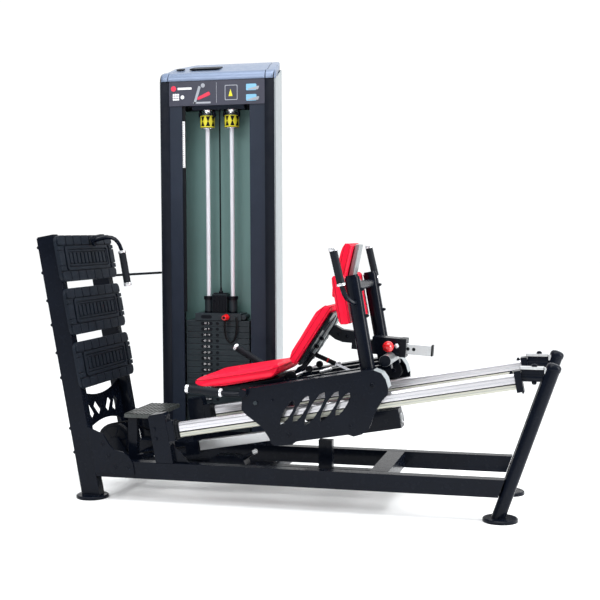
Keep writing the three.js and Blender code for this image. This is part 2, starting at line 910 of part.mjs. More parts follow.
// Side hand grip, bent out from the carriage's front top corner.
function sideHandle(side, points, gripFrom, gripTo) {
  const bar = bentBar(points, 9, 8);
  const grip = rod(gripFrom, gripTo, 15, 14);
  const way = new THREE.Vector3(...gripTo).sub(new THREE.Vector3(...gripFrom)).normalize();
  const tip = new THREE.Vector3(...gripTo).addScaledVector(way, 12);
  const end = rod(gripTo, tip.toArray(), 16, 14);
  return join(bar, grip, end);
}

function buildCarriage() {
  place(sloped, "drive_tube", driveTube(), RAIL_SILVER);
  for (const [word, side] of SIDES) {
    place(sloped, "carriage_side_" + word, carriageSide(side), FRAME_PAINT);
    place(sloped, "roller_front_" + word, roller(802, side), BLACK_PLASTIC);
    place(sloped, "roller_rear_" + word, roller(1284, side), BLACK_PLASTIC);
    place(sloped, "shoulder_post_" + word, shoulderPost(side), FRAME_PAINT);
    place(sloped, "shoulder_pad_" + word, shoulderPad(side), RED_VINYL);
  }
  const frame = join(tilted(carriageFrame()), adjusted(adjusterSleeve()));
  place(level, "carriage_frame", cut(frame, adjusted(adjusterBore())), FRAME_PAINT);
  place(sloped, "seat_pad", seatPad(), RED_VINYL);
  place(level, "back_pad", backPad(), RED_VINYL);
  place(level, "back_frame", backFrame(), FRAME_PAINT);
  place(level, "head_pad", headPad(), RED_VINYL);
  place(level, "head_frame", headFrame(), RAIL_SILVER);
  place(level, "adjuster_tube", adjusted(adjusterTube()), RAIL_SILVER);
  const ball = join(
    rod([14, -62, PIN_RISE], [14, -24.5, PIN_RISE], 5, 8),
    turnedAboutY(
      [
        [0, -24],
        [12, -21],
        [21, -11],
        [23, 0],
        [21, 10],
        [12, 20],
        [0, 23],
      ],
      14,
      -84,
      PIN_RISE,
      20,
    ),
  );
  place(level, "pop_pin", adjusted(ball), KNOB_RED);
  const nearHandle = sideHandle(
    -1,
    [
      [690, -300, 474],
      [652, -304, 470],
      [616, -307, 472],
      [590, -309, 475],
    ],
    [594, -309, 474.6],
    [463, -318, 487],
  );
  place(level, "side_handle_near", join(nearHandle, rod([690, -314, 474], [690, -289.6, 474], 16, 16)), GRIP_RUBBER);
  const farHandle = sideHandle(
    1,
    [
      [690, 300, 474],
      [655, 301, 482],
      [615, 302, 505],
      [582, 302, 526],
    ],
    [585, 302, 524],
    [473, 303, 592],
  );
  place(level, "side_handle_far", join(farHandle, rod([690, 289.6, 474], [690, 314, 474], 16, 16)), GRIP_RUBBER);
  const damper = (x) => [x, 0, DAMPER_FOOT[1] + (DAMPER_FOOT[0] - x) * DAMPER_SLOPE];
  const sleeve = cut(rod(damper(918), damper(1002), 10, 16), rod(damper(932), damper(1010), 6.5, 12));
  place(level, "gas_cylinder", sleeve, BLACK_PLASTIC);
  place(level, "gas_rod", rod(damper(DAMPER_FOOT[0]), damper(944), 5, 10), CHROME);
}

// ---------- weight tower ----------
const eave = (y) => TOWER_EAVE + (y - TOWER_FRONT) * HOOD_RISE;

// One half of the tower's shell: front column, side, and its half of the back.
function towerShell(side) {
  const x = (half) => TOWER_X + side * half;
  const order = (points) => (side > 0 ? points : points.reverse());
  const f = TOWER_HALF_FRONT;
  const b = TOWER_HALF_BACK;
  const sheet = prism(
    order([
      [x(f), TOWER_FRONT],
      [x(f - 8), TOWER_FRONT + 85],
      [x(b + 8), TOWER_BACK - 12],
      [x(b - 6), TOWER_BACK],
      [x(GAP), TOWER_BACK],
      [x(GAP), TOWER_BACK - 5],
      [x(b - 8), TOWER_BACK - 5],
      [x(b + 2), TOWER_BACK - 14],
      [x(f - 13), TOWER_FRONT + 84],
      [x(f - 6), TOWER_FRONT],
    ]),
    36,
    1990,
  );
  const column = prism(
    order([
      [x(f - 1), TOWER_FRONT],
      [x(f - 6), TOWER_FRONT + 55],
      [x(f - 48), TOWER_FRONT + 55],
      [x(f - 48), TOWER_FRONT],
    ]),
    36,
    1990,
  );
  const above = profile(
    [
      [TOWER_FRONT - 50, eave(TOWER_FRONT - 50) - GAP],
      [TOWER_BACK + 50, eave(TOWER_BACK + 50) - GAP],
      [TOWER_BACK + 50, 2200],
      [TOWER_FRONT - 50, 2200],
    ],
    -400,
    1000,
  );
  return cut(join(sheet, column), above);
}

// Top cover: a wedge with a rounded front edge, as wide as the shell below it.
function towerHood() {
  const y0 = TOWER_FRONT - 5;
  const y1 = TOWER_BACK + 3;
  const side = profile(
    [
      [y0, eave(y0)],
      [y1, eave(y1)],
      [y1, eave(y1) + 34],
      [y1 - 8, eave(y1) + 40],
      [y0 + 40, eave(y0) + 49],
      [y0 + 20, eave(y0) + 42],
      [y0 + 6, eave(y0) + 28],
      [y0, eave(y0) + 10],
    ],
    0,
    660,
  );
  const f = TOWER_HALF_FRONT + 2;
  const b = TOWER_HALF_BACK + 2;
  const plan = prism(
    [
      [TOWER_X - f, y0],
      [TOWER_X + f, y0],
      [TOWER_X + f - 8, TOWER_FRONT + 86],
      [TOWER_X + b, y1],
      [TOWER_X - b, y1],
      [TOWER_X - f + 8, TOWER_FRONT + 86],
    ],
    1700,
    2100,
  );
  const under = profile(
    [
      [y0 + 16, eave(y0 + 16) - 60],
      [y1 - 10, eave(y1 - 10) - 60],
      [y1 - 10, eave(y1 - 10) + 32],
      [y0 + 50, eave(y0 + 50) + 32],
      [y0 + 16, eave(y0 + 16) + 12],
    ],
    TOWER_X - b + 8,
    TOWER_X + b - 8,
  );
  return cut(side.intersect(plan), under);
}

// Front frame: two inner panels, the placard board over them, and the beam with the stack's bumpers.
function towerFrontFrame() {
  const x0 = TOWER_X - TOWER_HALF_FRONT + 48 + GAP;
  const x1 = TOWER_X + TOWER_HALF_FRONT - 48 - GAP;
  const y0 = TOWER_FRONT + 1;
  const y1 = y0 + 10;
  const left = box(x0, y0, 156, OPENING[0], y1, TOWER_EAVE - GAP);
  const right = box(OPENING[1], y0, 156, x1, y1, TOWER_EAVE - GAP);
  const board = box(x0, y0, PLACARD_LOW, x1, y1, TOWER_EAVE - GAP);
  const shelf = box(191, y0, PLACARD_LOW + 5, 449, ROD_Y + 16, PLACARD_LOW + 15);
  const beam = box(191, ROD_Y - 26, PLACARD_LOW - 15, 449, ROD_Y + 16, PLACARD_LOW + 15);
  const bumpers = [-1, 1].map((side) => {
    const x = STACK_X + side * ROD_HALF;
    return join(
      rod([x, ROD_Y, PLACARD_LOW - 42], [x, ROD_Y, PLACARD_LOW - 14], 18, 16),
      rod([x, ROD_Y, 1612], [x, ROD_Y, PLACARD_LOW - 40], 33, 24),
    );
  });
  const bores = [-1, 1].map((side) => {
    const x = STACK_X + side * ROD_HALF;
    return rod([x, ROD_Y, 1500], [x, ROD_Y, 1800], ROD_R + GAP, 16);
  });
  const cableWay = rod([STACK_X, ROD_Y, 1600], [STACK_X, ROD_Y, 1800], 9, 12);
  return cut(join(left, right, board, shelf, beam, ...bumpers), ...bores, cableWay);
}

// Tower base: floor skids, tray, stack pedestal, low front plate and the two bars to the machine.
function towerBase() {
  const skids = [-1, 1].map((side) => {
    const x = TOWER_X + side * 260;
    return box(x - 52, 482, 0, x + 52, 792, 25);
  });
  const tray = box(60, 482, 24, 596, 786, 34);
  const pedestal = box(165, 492, 30, 475, 588, STACK_LOW - GAP);
  const front = box(95, 482, 30, 561, 489, 150);
  const bars = [
    [215, 275],
    [500, 560],
  ].map(([x0, x1]) => box(x0, FRAME_Y + TUBE_W / 2 + GAP, 100, x1, 484, 148));
  return join(...skids, tray, pedestal, front, ...bars);
}

// Stack: plates as a comb, joined inside by a narrow core so that it stays one piece.
function weightStack() {
  const outline = [];
  const front = STACK_FRONT;
  const back = STACK_FRONT + STACK_DEPTH;
  for (let i = 0; i < PLATES; i++) {
    const low = STACK_LOW + i * PITCH;
    outline.push([front, low + 1], [front, low + PITCH - 1.5]);
    if (i < PLATES - 1) outline.push([front + 3, low + PITCH - 1.5], [front + 3, low + PITCH + 1]);
  }
  outline.push([back, STACK_TOP - 1.5], [back, STACK_LOW + 1]);
  outline.reverse();
  const comb = profile(outline, STACK_X - STACK_HALF_W, STACK_X + STACK_HALF_W);
  const bores = [-1, 1].map((side) => {
    const x = STACK_X + side * ROD_HALF;
    return rod([x, ROD_Y, 100], [x, ROD_Y, 800], ROD_R + 1, 16);
  });
  return cut(comb, ...bores);
}

// Lifting head: narrow head plate, two guide bushings, the cable block and the side boss.
function headPlate() {
  const low = HEAD_LOW;
  const high = HEAD_LOW + HEAD_H;
  const plate = box(209, STACK_FRONT - 4, low, 437, STACK_FRONT + STACK_DEPTH, high);
  const block = box(284, 515, high - 1, 356, 571, 823);
  const boss = rod([448, 492, low + 17], [448, 560, low + 17], 13, 16);
  const bushings = [-1, 1].map((side) => {
    const x = STACK_X + side * ROD_HALF;
    return join(
      rod([x, ROD_Y, high - 1], [x, ROD_Y, 812], 20, 20),
      rod([x, ROD_Y, 796], [x, ROD_Y, 812], 23, 20),
    );
  });
  const bores = [-1, 1].map((side) => {
    const x = STACK_X + side * ROD_HALF;
    return rod([x, ROD_Y, 600], [x, ROD_Y, 900], ROD_R + 1, 16);
  });
  const pinHole = rod([PIN_X, 400, PIN_Z], [PIN_X, 530, PIN_Z], 6, 12);
  return cut(join(plate, block, boss, ...bushings), ...bores, pinHole);
}

const PIN_X = 366;
const PIN_Z = HEAD_LOW + 16;

function selectorPin() {
  const shaft = rod([PIN_X, 482, PIN_Z], [PIN_X, 526, PIN_Z], 5, 12);
  const knob = turnedAboutY(
    [
      [0, 0],
      [11, 0],
      [12, 6],
      [16, 34],
      [15, 40],
      [0, 40],
    ],
    PIN_X,
    443,
    PIN_Z,
    20,
  );
  return join(shaft, knob);
}

// Points of the lanyard's run from the pin's knob, down and up to the head plate's front.
const LANYARD = [
  [366, 455, 698],
  [365, 457, 680],
  [364, 462, 655],
  [366, 467, 630],
  [373, 471, 610],
  [385, 473, 598],
  [399, 473, 600],
  [410, 474, 615],
  [416, 476, 640],
  [418, 478, 668],
  [417, 480, 695],
  [416, 480.5, 716],
];

function buildTower() {
  place(level, "tower_shell_left", towerShell(-1), SHROUD_GREY);
  place(level, "tower_shell_right", towerShell(1), SHROUD_GREY);
  place(level, "tower_hood", towerHood(), SHROUD_GREY);
  place(level, "tower_front_frame", towerFrontFrame(), FRAME_PAINT);
  place(level, "tower_back_panel", box(122, 600, 40, 530, 603, 1700), SAGE_PANEL);
  place(level, "tower_base", towerBase(), FRAME_PAINT);
  for (const [word, side] of [
    ["left", -1],
    ["right", 1],
  ]) {
    const x = STACK_X + side * ROD_HALF;
    place(level, "guide_rod_" + word, rod([x, ROD_Y, STACK_LOW], [x, ROD_Y, PLACARD_LOW + 10], ROD_R, 16), CHROME);
  }
  place(level, "weight_stack", weightStack(), STACK_IRON);
  place(level, "head_plate", headPlate(), STACK_IRON);
  place(level, "selector_pin", selectorPin(), KNOB_RED);
  place(level, "lanyard", bentBar(LANYARD, LANYARD_R, 26, 8), BLACK_PLASTIC);
  place(level, "lift_cable", rod([STACK_X, ROD_Y, 823.5], [STACK_X, ROD_Y, 1772], CABLE_R, 8), BLACK_PLASTIC);
  const wheel = solid(geometryOf(pulley(0, 0, 62, 55, 11, 8)), new THREE.Matrix4().makeRotationZ(Math.PI / 2));
  const hung = new THREE.Matrix4().makeTranslation(STACK_X, ROD_Y + 60, 1775);
  place(level, "top_pulley", solid(geometryOf(wheel), hung), BLACK_PLASTIC);
}

// Cable from the drive tube's front end, under and round the front pulley, and off to the tower.
function buildDriveCable() {
  const points = [[DRIVE_FROM - GAP, 0, DRIVE_N]];
  for (const s of [380, 250, 120]) points.push([s, 0, DRIVE_N + ((DRIVE_FROM - s) * 1.0) / (DRIVE_FROM - 36)]);
  for (let i = 0; i <= 6; i++) {
    const angle = -Math.PI / 2 - (Math.PI * i) / 6;
    points.push([36 + 75.5 * Math.cos(angle), 0, 198 + 75.5 * Math.sin(angle)]);
  }
  points.push([78, 0, 273.5], [112, 0, 272]);
  const turned = points.map((p) => new THREE.Vector3(...p).applyMatrix4(slopeTurn).toArray());
  const leave = turned[turned.length - 1];
  const enter = [134, 478, 104];
  for (const t of [0.2, 0.45, 0.7, 1]) {
    turned.push(leave.map((value, i) => value + (enter[i] - value) * t));
  }
  place(level, "drive_cable", bentBar(turned, CABLE_R, 52, 6), BLACK_PLASTIC);
}

buildBase();
buildCarriage();
buildTower();
buildDriveCable();

export default machine;
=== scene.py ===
"""Leg press machine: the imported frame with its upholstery, treads, grips, tower and small hardware.

Places are in millimetres in the machine's own frame (LEVEL), or in the frame of its inclined rails (SLOPED):
X along the rails, Y across, Z square to them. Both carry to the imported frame, in metres.
"""

import math

import bmesh
import bpy
import numpy as np
from mathutils import Matrix, Vector
from mathutils.bvhtree import BVHTree


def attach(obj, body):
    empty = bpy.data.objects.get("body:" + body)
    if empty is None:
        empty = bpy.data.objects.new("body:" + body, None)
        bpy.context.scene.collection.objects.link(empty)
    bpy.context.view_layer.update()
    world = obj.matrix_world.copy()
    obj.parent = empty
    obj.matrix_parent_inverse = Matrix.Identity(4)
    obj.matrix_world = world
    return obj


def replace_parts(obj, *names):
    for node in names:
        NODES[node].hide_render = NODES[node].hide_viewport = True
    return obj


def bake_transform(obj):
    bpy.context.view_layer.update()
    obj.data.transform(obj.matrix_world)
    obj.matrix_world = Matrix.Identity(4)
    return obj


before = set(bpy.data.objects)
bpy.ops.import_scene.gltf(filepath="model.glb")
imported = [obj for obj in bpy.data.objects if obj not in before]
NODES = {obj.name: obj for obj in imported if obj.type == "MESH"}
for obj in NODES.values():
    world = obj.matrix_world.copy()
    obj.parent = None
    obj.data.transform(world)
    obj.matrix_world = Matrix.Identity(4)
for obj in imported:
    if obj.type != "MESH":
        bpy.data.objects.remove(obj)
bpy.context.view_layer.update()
SCENE = bpy.context.scene

# ---------- frames ----------
MM = 0.001
INCLINE = math.radians(10)
LEVEL = Matrix.Scale(MM, 4) @ Matrix.Translation((-850.2, -208.5, 0))
SLOPED = LEVEL @ Matrix.Rotation(-INCLINE, 4, "Y")
ADJUSTER = LEVEL @ Matrix.Translation((1225, 0, 643)) @ Matrix.Rotation(math.radians(4), 4, "Y")

# Planes for outlines: outline X and Y become these axes, and depth the third.
FACING_FRONT = Matrix(((1, 0, 0, 0), (0, 0, 1, 0), (0, 1, 0, 0), (0, 0, 0, 1)))  # X, Z and depth Y
FACING_RAIL = Matrix(((0, 0, 1, 0), (1, 0, 0, 0), (0, 1, 0, 0), (0, 0, 0, 1)))  # Y, Z and depth X
FACING_UP = Matrix.Identity(4)

SIDES = (("near", -1), ("far", 1))


# ---------- camera and light ----------
FRONT_LIGHT = 0.16  # brightness of the surroundings at eye height in front of the machine
BACK_LIGHT = 1.0  # the same behind it, where a white backdrop stands
CEILING = 1.35


def camera():
    eye = Vector((1.1608, -4.7645, 1.115))
    yaw, pitch, roll = (math.radians(a) for a in (14.304, 3.45, -0.212))
    forward = Vector((-math.sin(yaw) * math.cos(pitch), math.cos(yaw) * math.cos(pitch), -math.sin(pitch)))
    right = Vector((math.cos(yaw), math.sin(yaw), 0))
    up = right.cross(forward)
    across = math.cos(roll) * right + math.sin(roll) * up
    upward = math.cos(roll) * up - math.sin(roll) * right
    turn = Matrix((across, upward, -forward)).transposed().to_4x4()
    data = bpy.data.cameras.new("camera")
    data.lens = 67.13
    data.sensor_width = 36
    obj = bpy.data.objects.new("camera", data)
    obj.matrix_world = Matrix.Translation(eye) @ turn
    SCENE.collection.objects.link(obj)
    SCENE.camera = obj


def area_light(name, place, aim, size, power):
    data = bpy.data.lights.new(name, "AREA")
    data.shape = "RECTANGLE"
    data.size, data.size_y = size
    data.energy = power
    obj = bpy.data.objects.new(name, data)
    obj.location = place
    obj.rotation_euler = (Vector(aim) - Vector(place)).to_track_quat("-Z", "Y").to_euler()
    SCENE.collection.objects.link(obj)


def ramp_between(tree, value, low, high, low_colour, high_colour):
    ramp = node(tree, "ShaderNodeValToRGB")
    ramp.color_ramp.elements[0].color = (*low_colour, 1)
    ramp.color_ramp.elements[1].color = (*high_colour, 1)
    scaled = node(tree, "ShaderNodeMapRange")
    scaled.inputs["From Min"].default_value = low
    scaled.inputs["From Max"].default_value = high
    tree.links.new(value, scaled.inputs["Value"])
    tree.links.new(scaled.outputs["Result"], ramp.inputs["Fac"])
    return ramp.outputs["Color"]


def studio():
    SCENE.view_settings.view_transform = "Standard"
    world = bpy.data.worlds.new("studio")
    world.use_nodes = True
    tree = world.node_tree
    sky = tree.nodes["Background"]
    SCENE.world = world
    # The backdrop is seen plain white; the machine is lit by it from behind and by a soft ceiling from above.
    way = node(tree, "ShaderNodeSeparateXYZ")
    tree.links.new(node(tree, "ShaderNodeTexCoord").outputs["Generated"], way.inputs["Vector"])
    backdrop = ramp_between(tree, way.outputs["Y"], -0.1, 0.55, (FRONT_LIGHT,) * 3, (BACK_LIGHT,) * 3)
    dome = node(tree, "ShaderNodeMix", data_type="RGBA")
    dome.inputs["B"].default_value = (CEILING * 0.97, CEILING, CEILING * 1.02, 1)
    overhead = node(tree, "ShaderNodeMapRange")
    overhead.inputs["From Min"].default_value = 0.15
    overhead.inputs["From Max"].default_value = 0.8
    tree.links.new(way.outputs["Z"], overhead.inputs["Value"])
    tree.links.new(overhead.outputs["Result"], dome.inputs["Factor"])
    tree.links.new(backdrop, dome.inputs["A"])
    seen = node(tree, "ShaderNodeMix", data_type="RGBA")
    seen.inputs["B"].default_value = (1.05, 1.05, 1.05, 1)
    tree.links.new(node(tree, "ShaderNodeLightPath").outputs["Is Camera Ray"], seen.inputs["Factor"])
    tree.links.new(dome.outputs["Result"], seen.inputs["A"])
    tree.links.new(seen.outputs["Result"], sky.inputs["Color"])
    area_light("key", (-1.6, -3.4, 3.6), (0, 0, 0.6), (2.4, 1.6), 70)
    area_light("top", (0.4, -0.6, 4.2), (0.2, -0.1, 0.4), (3.5, 2.5), 110)
    area_light("rim", (3.6, -0.4, 1.5), (0.3, 0, 0.7), (1.0, 2.6), 110)


def stage_floor():
    shape = Shape(Matrix.Identity(4))
    half = 40
    shape.add([(-half, -half, 0), (half, -half, 0), (half, half, 0), (-half, half, 0)], [(0, 1, 2, 3)])
    floor = shape.object("floor", surface("studio_floor", (0.93, 0.93, 0.93), 0.9, mottle=0.01))


# ---------- materials ----------
def node(tree, kind, **values):
    made = tree.nodes.new(kind)
    for key, value in values.items():
        if key in made.inputs:
            made.inputs[key].default_value = value
        else:
            setattr(made, key, value)
    return made


def noise_on(tree, place, scale, detail=2.0):
    texture = node(tree, "ShaderNodeTexNoise", Scale=scale, Detail=detail)
    tree.links.new(place, texture.inputs["Vector"])
    return texture.outputs["Fac"]


def spread(tree, value, low, high):
    """A noise's middle range stretched from low to high."""
    ramp = node(tree, "ShaderNodeMapRange")
    ramp.inputs["From Min"].default_value = 0.3
    ramp.inputs["From Max"].default_value = 0.7
    ramp.inputs["To Min"].default_value = low
    ramp.inputs["To Max"].default_value = high
    tree.links.new(value, ramp.inputs["Value"])
    return ramp.outputs["Result"]


def surface(name, base, roughness, metallic=0.0, mottle=0.12, blotch=9, grain=900, bump=0.1,
            cells=0, coat=0.0, brushed=0, rub=0.06, specular=0.5, coat_roughness=0.3):
    """A painted, moulded or polished finish. Colour and roughness vary, and a fine grain is raised."""
    made = bpy.data.materials.new(name)
    made.use_nodes = True
    tree = made.node_tree
    shader = tree.nodes["Principled BSDF"]
    shader.inputs["Metallic"].default_value = metallic
    shader.inputs["Specular IOR Level"].default_value = specular
    shader.inputs["Coat Weight"].default_value = coat
    shader.inputs["Coat Roughness"].default_value = coat_roughness
    place = node(tree, "ShaderNodeTexCoord").outputs["Object"]
    if brushed:
        run = node(tree, "ShaderNodeMapping")
        run.inputs["Rotation"].default_value = (0, INCLINE, 0)
        run.inputs["Scale"].default_value = (1, brushed, brushed)
        tree.links.new(place, run.inputs["Vector"])
        place = run.outputs["Vector"]
    shade = node(tree, "ShaderNodeMix", data_type="RGBA")
    shade.inputs["A"].default_value = (*[c * (1 - mottle) for c in base], 1)
    shade.inputs["B"].default_value = (*[min(1, c * (1 + mottle)) for c in base], 1)
    tree.links.new(spread(tree, noise_on(tree, place, blotch, 4), 0, 1), shade.inputs["Factor"])
    tree.links.new(shade.outputs["Result"], shader.inputs["Base Color"])
    scuff = spread(tree, noise_on(tree, place, blotch * 4, 3), max(0.02, roughness - rub), roughness + rub)
    tree.links.new(scuff, shader.inputs["Roughness"])
    height = noise_on(tree, place, grain, 2)
    if cells:
        creases = node(tree, "ShaderNodeTexVoronoi", feature="SMOOTH_F1", Scale=cells)
        tree.links.new(place, creases.inputs["Vector"])
        both = node(tree, "ShaderNodeMath", operation="ADD")
        tree.links.new(creases.outputs["Distance"], both.inputs[0])
        tree.links.new(height, both.inputs[1])
        height = both.outputs["Value"]
    raised = node(tree, "ShaderNodeBump", Strength=bump, Distance=0.0006)
    tree.links.new(height, raised.inputs["Height"])
    tree.links.new(raised.outputs["Normal"], shader.inputs["Normal"])
    return made


PAINT = surface("black_powder_coat", (0.0032, 0.0048, 0.0095), 0.26, grain=500, bump=0.015,
                specular=0.06, coat=0.1, coat_roughness=0.1, rub=0.03)
SILVER = surface("bright_silver", (0.60, 0.61, 0.62), 0.3, 0.7, mottle=0.04, brushed=40, bump=0.01, rub=0.03)
BACKING = surface("silver_backing", (0.27, 0.29, 0.30), 0.3, 0.6, mottle=0.04, bump=0.01, rub=0.03)
RAIL = surface("rail_silver", (0.66, 0.65, 0.68), 0.24, 0.7, mottle=0.02, brushed=40, bump=0.003, rub=0.02)
# A dimmer, creamier copy of the rail silver for the rail's lower side: painted shade.
RAIL_SHADED_LOWER = surface("rail_silver_painted_shade", (0.50, 0.50, 0.43), 0.32, 0.45, mottle=0.03, brushed=40,
                    bump=0.003, rub=0.02)
CHROME = surface("polished_chrome", (0.86, 0.87, 0.9), 0.14, 0.9, mottle=0.03, bump=0.01, rub=0.03)
ROD = surface("ground_steel_rod", (0.88, 0.90, 0.97), 0.22, 0.3, mottle=0.02, bump=0.003, rub=0.02)
CAST_CAP = surface("polished_aluminium", (0.84, 0.85, 0.88), 0.2, 0.7, mottle=0.05, bump=0.02)
VINYL = surface("red_vinyl", (0.80, 0.002, 0.032), 0.45, mottle=0.05, blotch=14, grain=1100, bump=0.15,
                cells=620, specular=0.2)
STITCH = surface("red_seam", (0.40, 0.002, 0.015), 0.6, mottle=0.2, grain=1500, bump=0.3, specular=0.2)
GRIP = surface("grip_rubber", (0.006, 0.008, 0.012), 0.5, grain=1800, bump=0.2, specular=0.15)
TREAD = surface("tread_rubber", (0.008, 0.0115, 0.018), 0.45, mottle=0.2, blotch=20, grain=700, cells=500,
                specular=0.12)
STEP = surface("step_rubber", (0.035, 0.04, 0.038), 0.3, mottle=0.2, blotch=30, grain=700, bump=0.05)
RUBBER = surface("black_rubber", (0.003, 0.004, 0.006), 0.45, bump=0.15, specular=0.15)
PLASTIC = surface("black_plastic", (0.003, 0.004, 0.007), 0.32, bump=0.05, specular=0.15)
IRON = surface("stack_iron", (0.017, 0.025, 0.031), 0.42, mottle=0.15, grain=700, specular=0.3)
SAGE = surface("sage_panel", (0.115, 0.215, 0.205), 0.5, mottle=0.08, blotch=3, grain=1300)
COLUMN = surface("column_grey", (0.0042, 0.0062, 0.012), 0.36, bump=0.04, specular=0.2)
INNER = surface("inner_panel_grey", (0.012, 0.018, 0.032), 0.45, mottle=0.08, bump=0.05, specular=0.25)
SHROUD = surface("shroud_grey", (0.31, 0.345, 0.36), 0.36, 0.2, mottle=0.04, bump=0.04)
HOOD = surface("hood_blue_grey", (0.15, 0.195, 0.29), 0.34, 0.3, mottle=0.05, bump=0.04)
KNOB = surface("red_knob", (0.66, 0.004, 0.008), 0.2, mottle=0.06, bump=0.02, coat=0.5, coat_roughness=0.08)
WHITE = surface("label_white", (0.75, 0.76, 0.78), 0.5, mottle=0.04)
YELLOW = surface("bumper_yellow", (0.62, 0.56, 0.02), 0.45, mottle=0.1, bump=0.2)
BOARD = surface("placard_board", (0.028, 0.03, 0.05), 0.4, mottle=0.1)
BOARD_RED = surface("placard_red", (0.6, 0.02, 0.06), 0.45)
BOARD_GREY = surface("placard_grey", (0.3, 0.32, 0.36), 0.45)
BOARD_BLUE = surface("placard_blue", (0.18, 0.42, 0.6), 0.45)
CABLE = surface("coated_cable", (0.002, 0.002, 0.003), 0.35, grain=1500, bump=0.15, specular=0.15)


# ---------- geometry ----------
def rounded(points, radii, steps=4):
    """An outline with its corners rounded: one radius, or one for each corner."""
    count = len(points)
    if not hasattr(radii, "__len__"):
        radii = [radii] * count
    out = []
    for i, (corner, radius) in enumerate(zip(points, radii)):
        corner = Vector(corner)
        before = (Vector(points[i - 1]) - corner).normalized()
        after = (Vector(points[(i + 1) % count]) - corner).normalized()
        if radius <= 0:
            out.append(tuple(corner))
            continue
        half = before.angle(after) / 2
        reach = radius / math.tan(half)
        centre = corner + (before + after).normalized() * (radius / math.sin(half))
        start = corner + before * reach - centre
        sweep = start.angle_signed(corner + after * reach - centre)
        for k in range(steps + 1):
            angle = -sweep * k / steps
            turned = Vector((start.x * math.cos(angle) - start.y * math.sin(angle),
                             start.x * math.sin(angle) + start.y * math.cos(angle)))
            out.append(tuple(centre + turned))
    return out


def rectangle(x0, y0, x1, y1, radius=0, steps=4):
    return rounded([(x0, y0), (x1, y0), (x1, y1), (x0, y1)], radius, steps)


def circle(x, y, radius, sides=20):
    turns = [2 * math.pi * i / sides for i in range(sides)]
    return [(x + radius * math.cos(a), y + radius * math.sin(a)) for a in turns]


def along_axis(origin, axis):
    """A matrix whose Z runs along axis from origin."""
    turn = Vector(axis).to_track_quat("Z", "Y").to_matrix().to_4x4()
    return Matrix.Translation(origin) @ turn


def smooth_path(points, per_span=6):
    """A Catmull-Rom line through the points."""
    pts = [Vector(p) for p in points]
    pts = [2 * pts[0] - pts[1], *pts, 2 * pts[-1] - pts[-2]]
    out = []
    for a, b, c, d in zip(pts, pts[1:], pts[2:], pts[3:]):
        for k in range(per_span):
            t = k / per_span
            square, cube = 2 * a - 5 * b + 4 * c - d, 3 * b - a - 3 * c + d
            out.append(0.5 * (2 * b + (c - a) * t + square * t * t + cube * t**3))
    out.append(pts[-2])
    return out


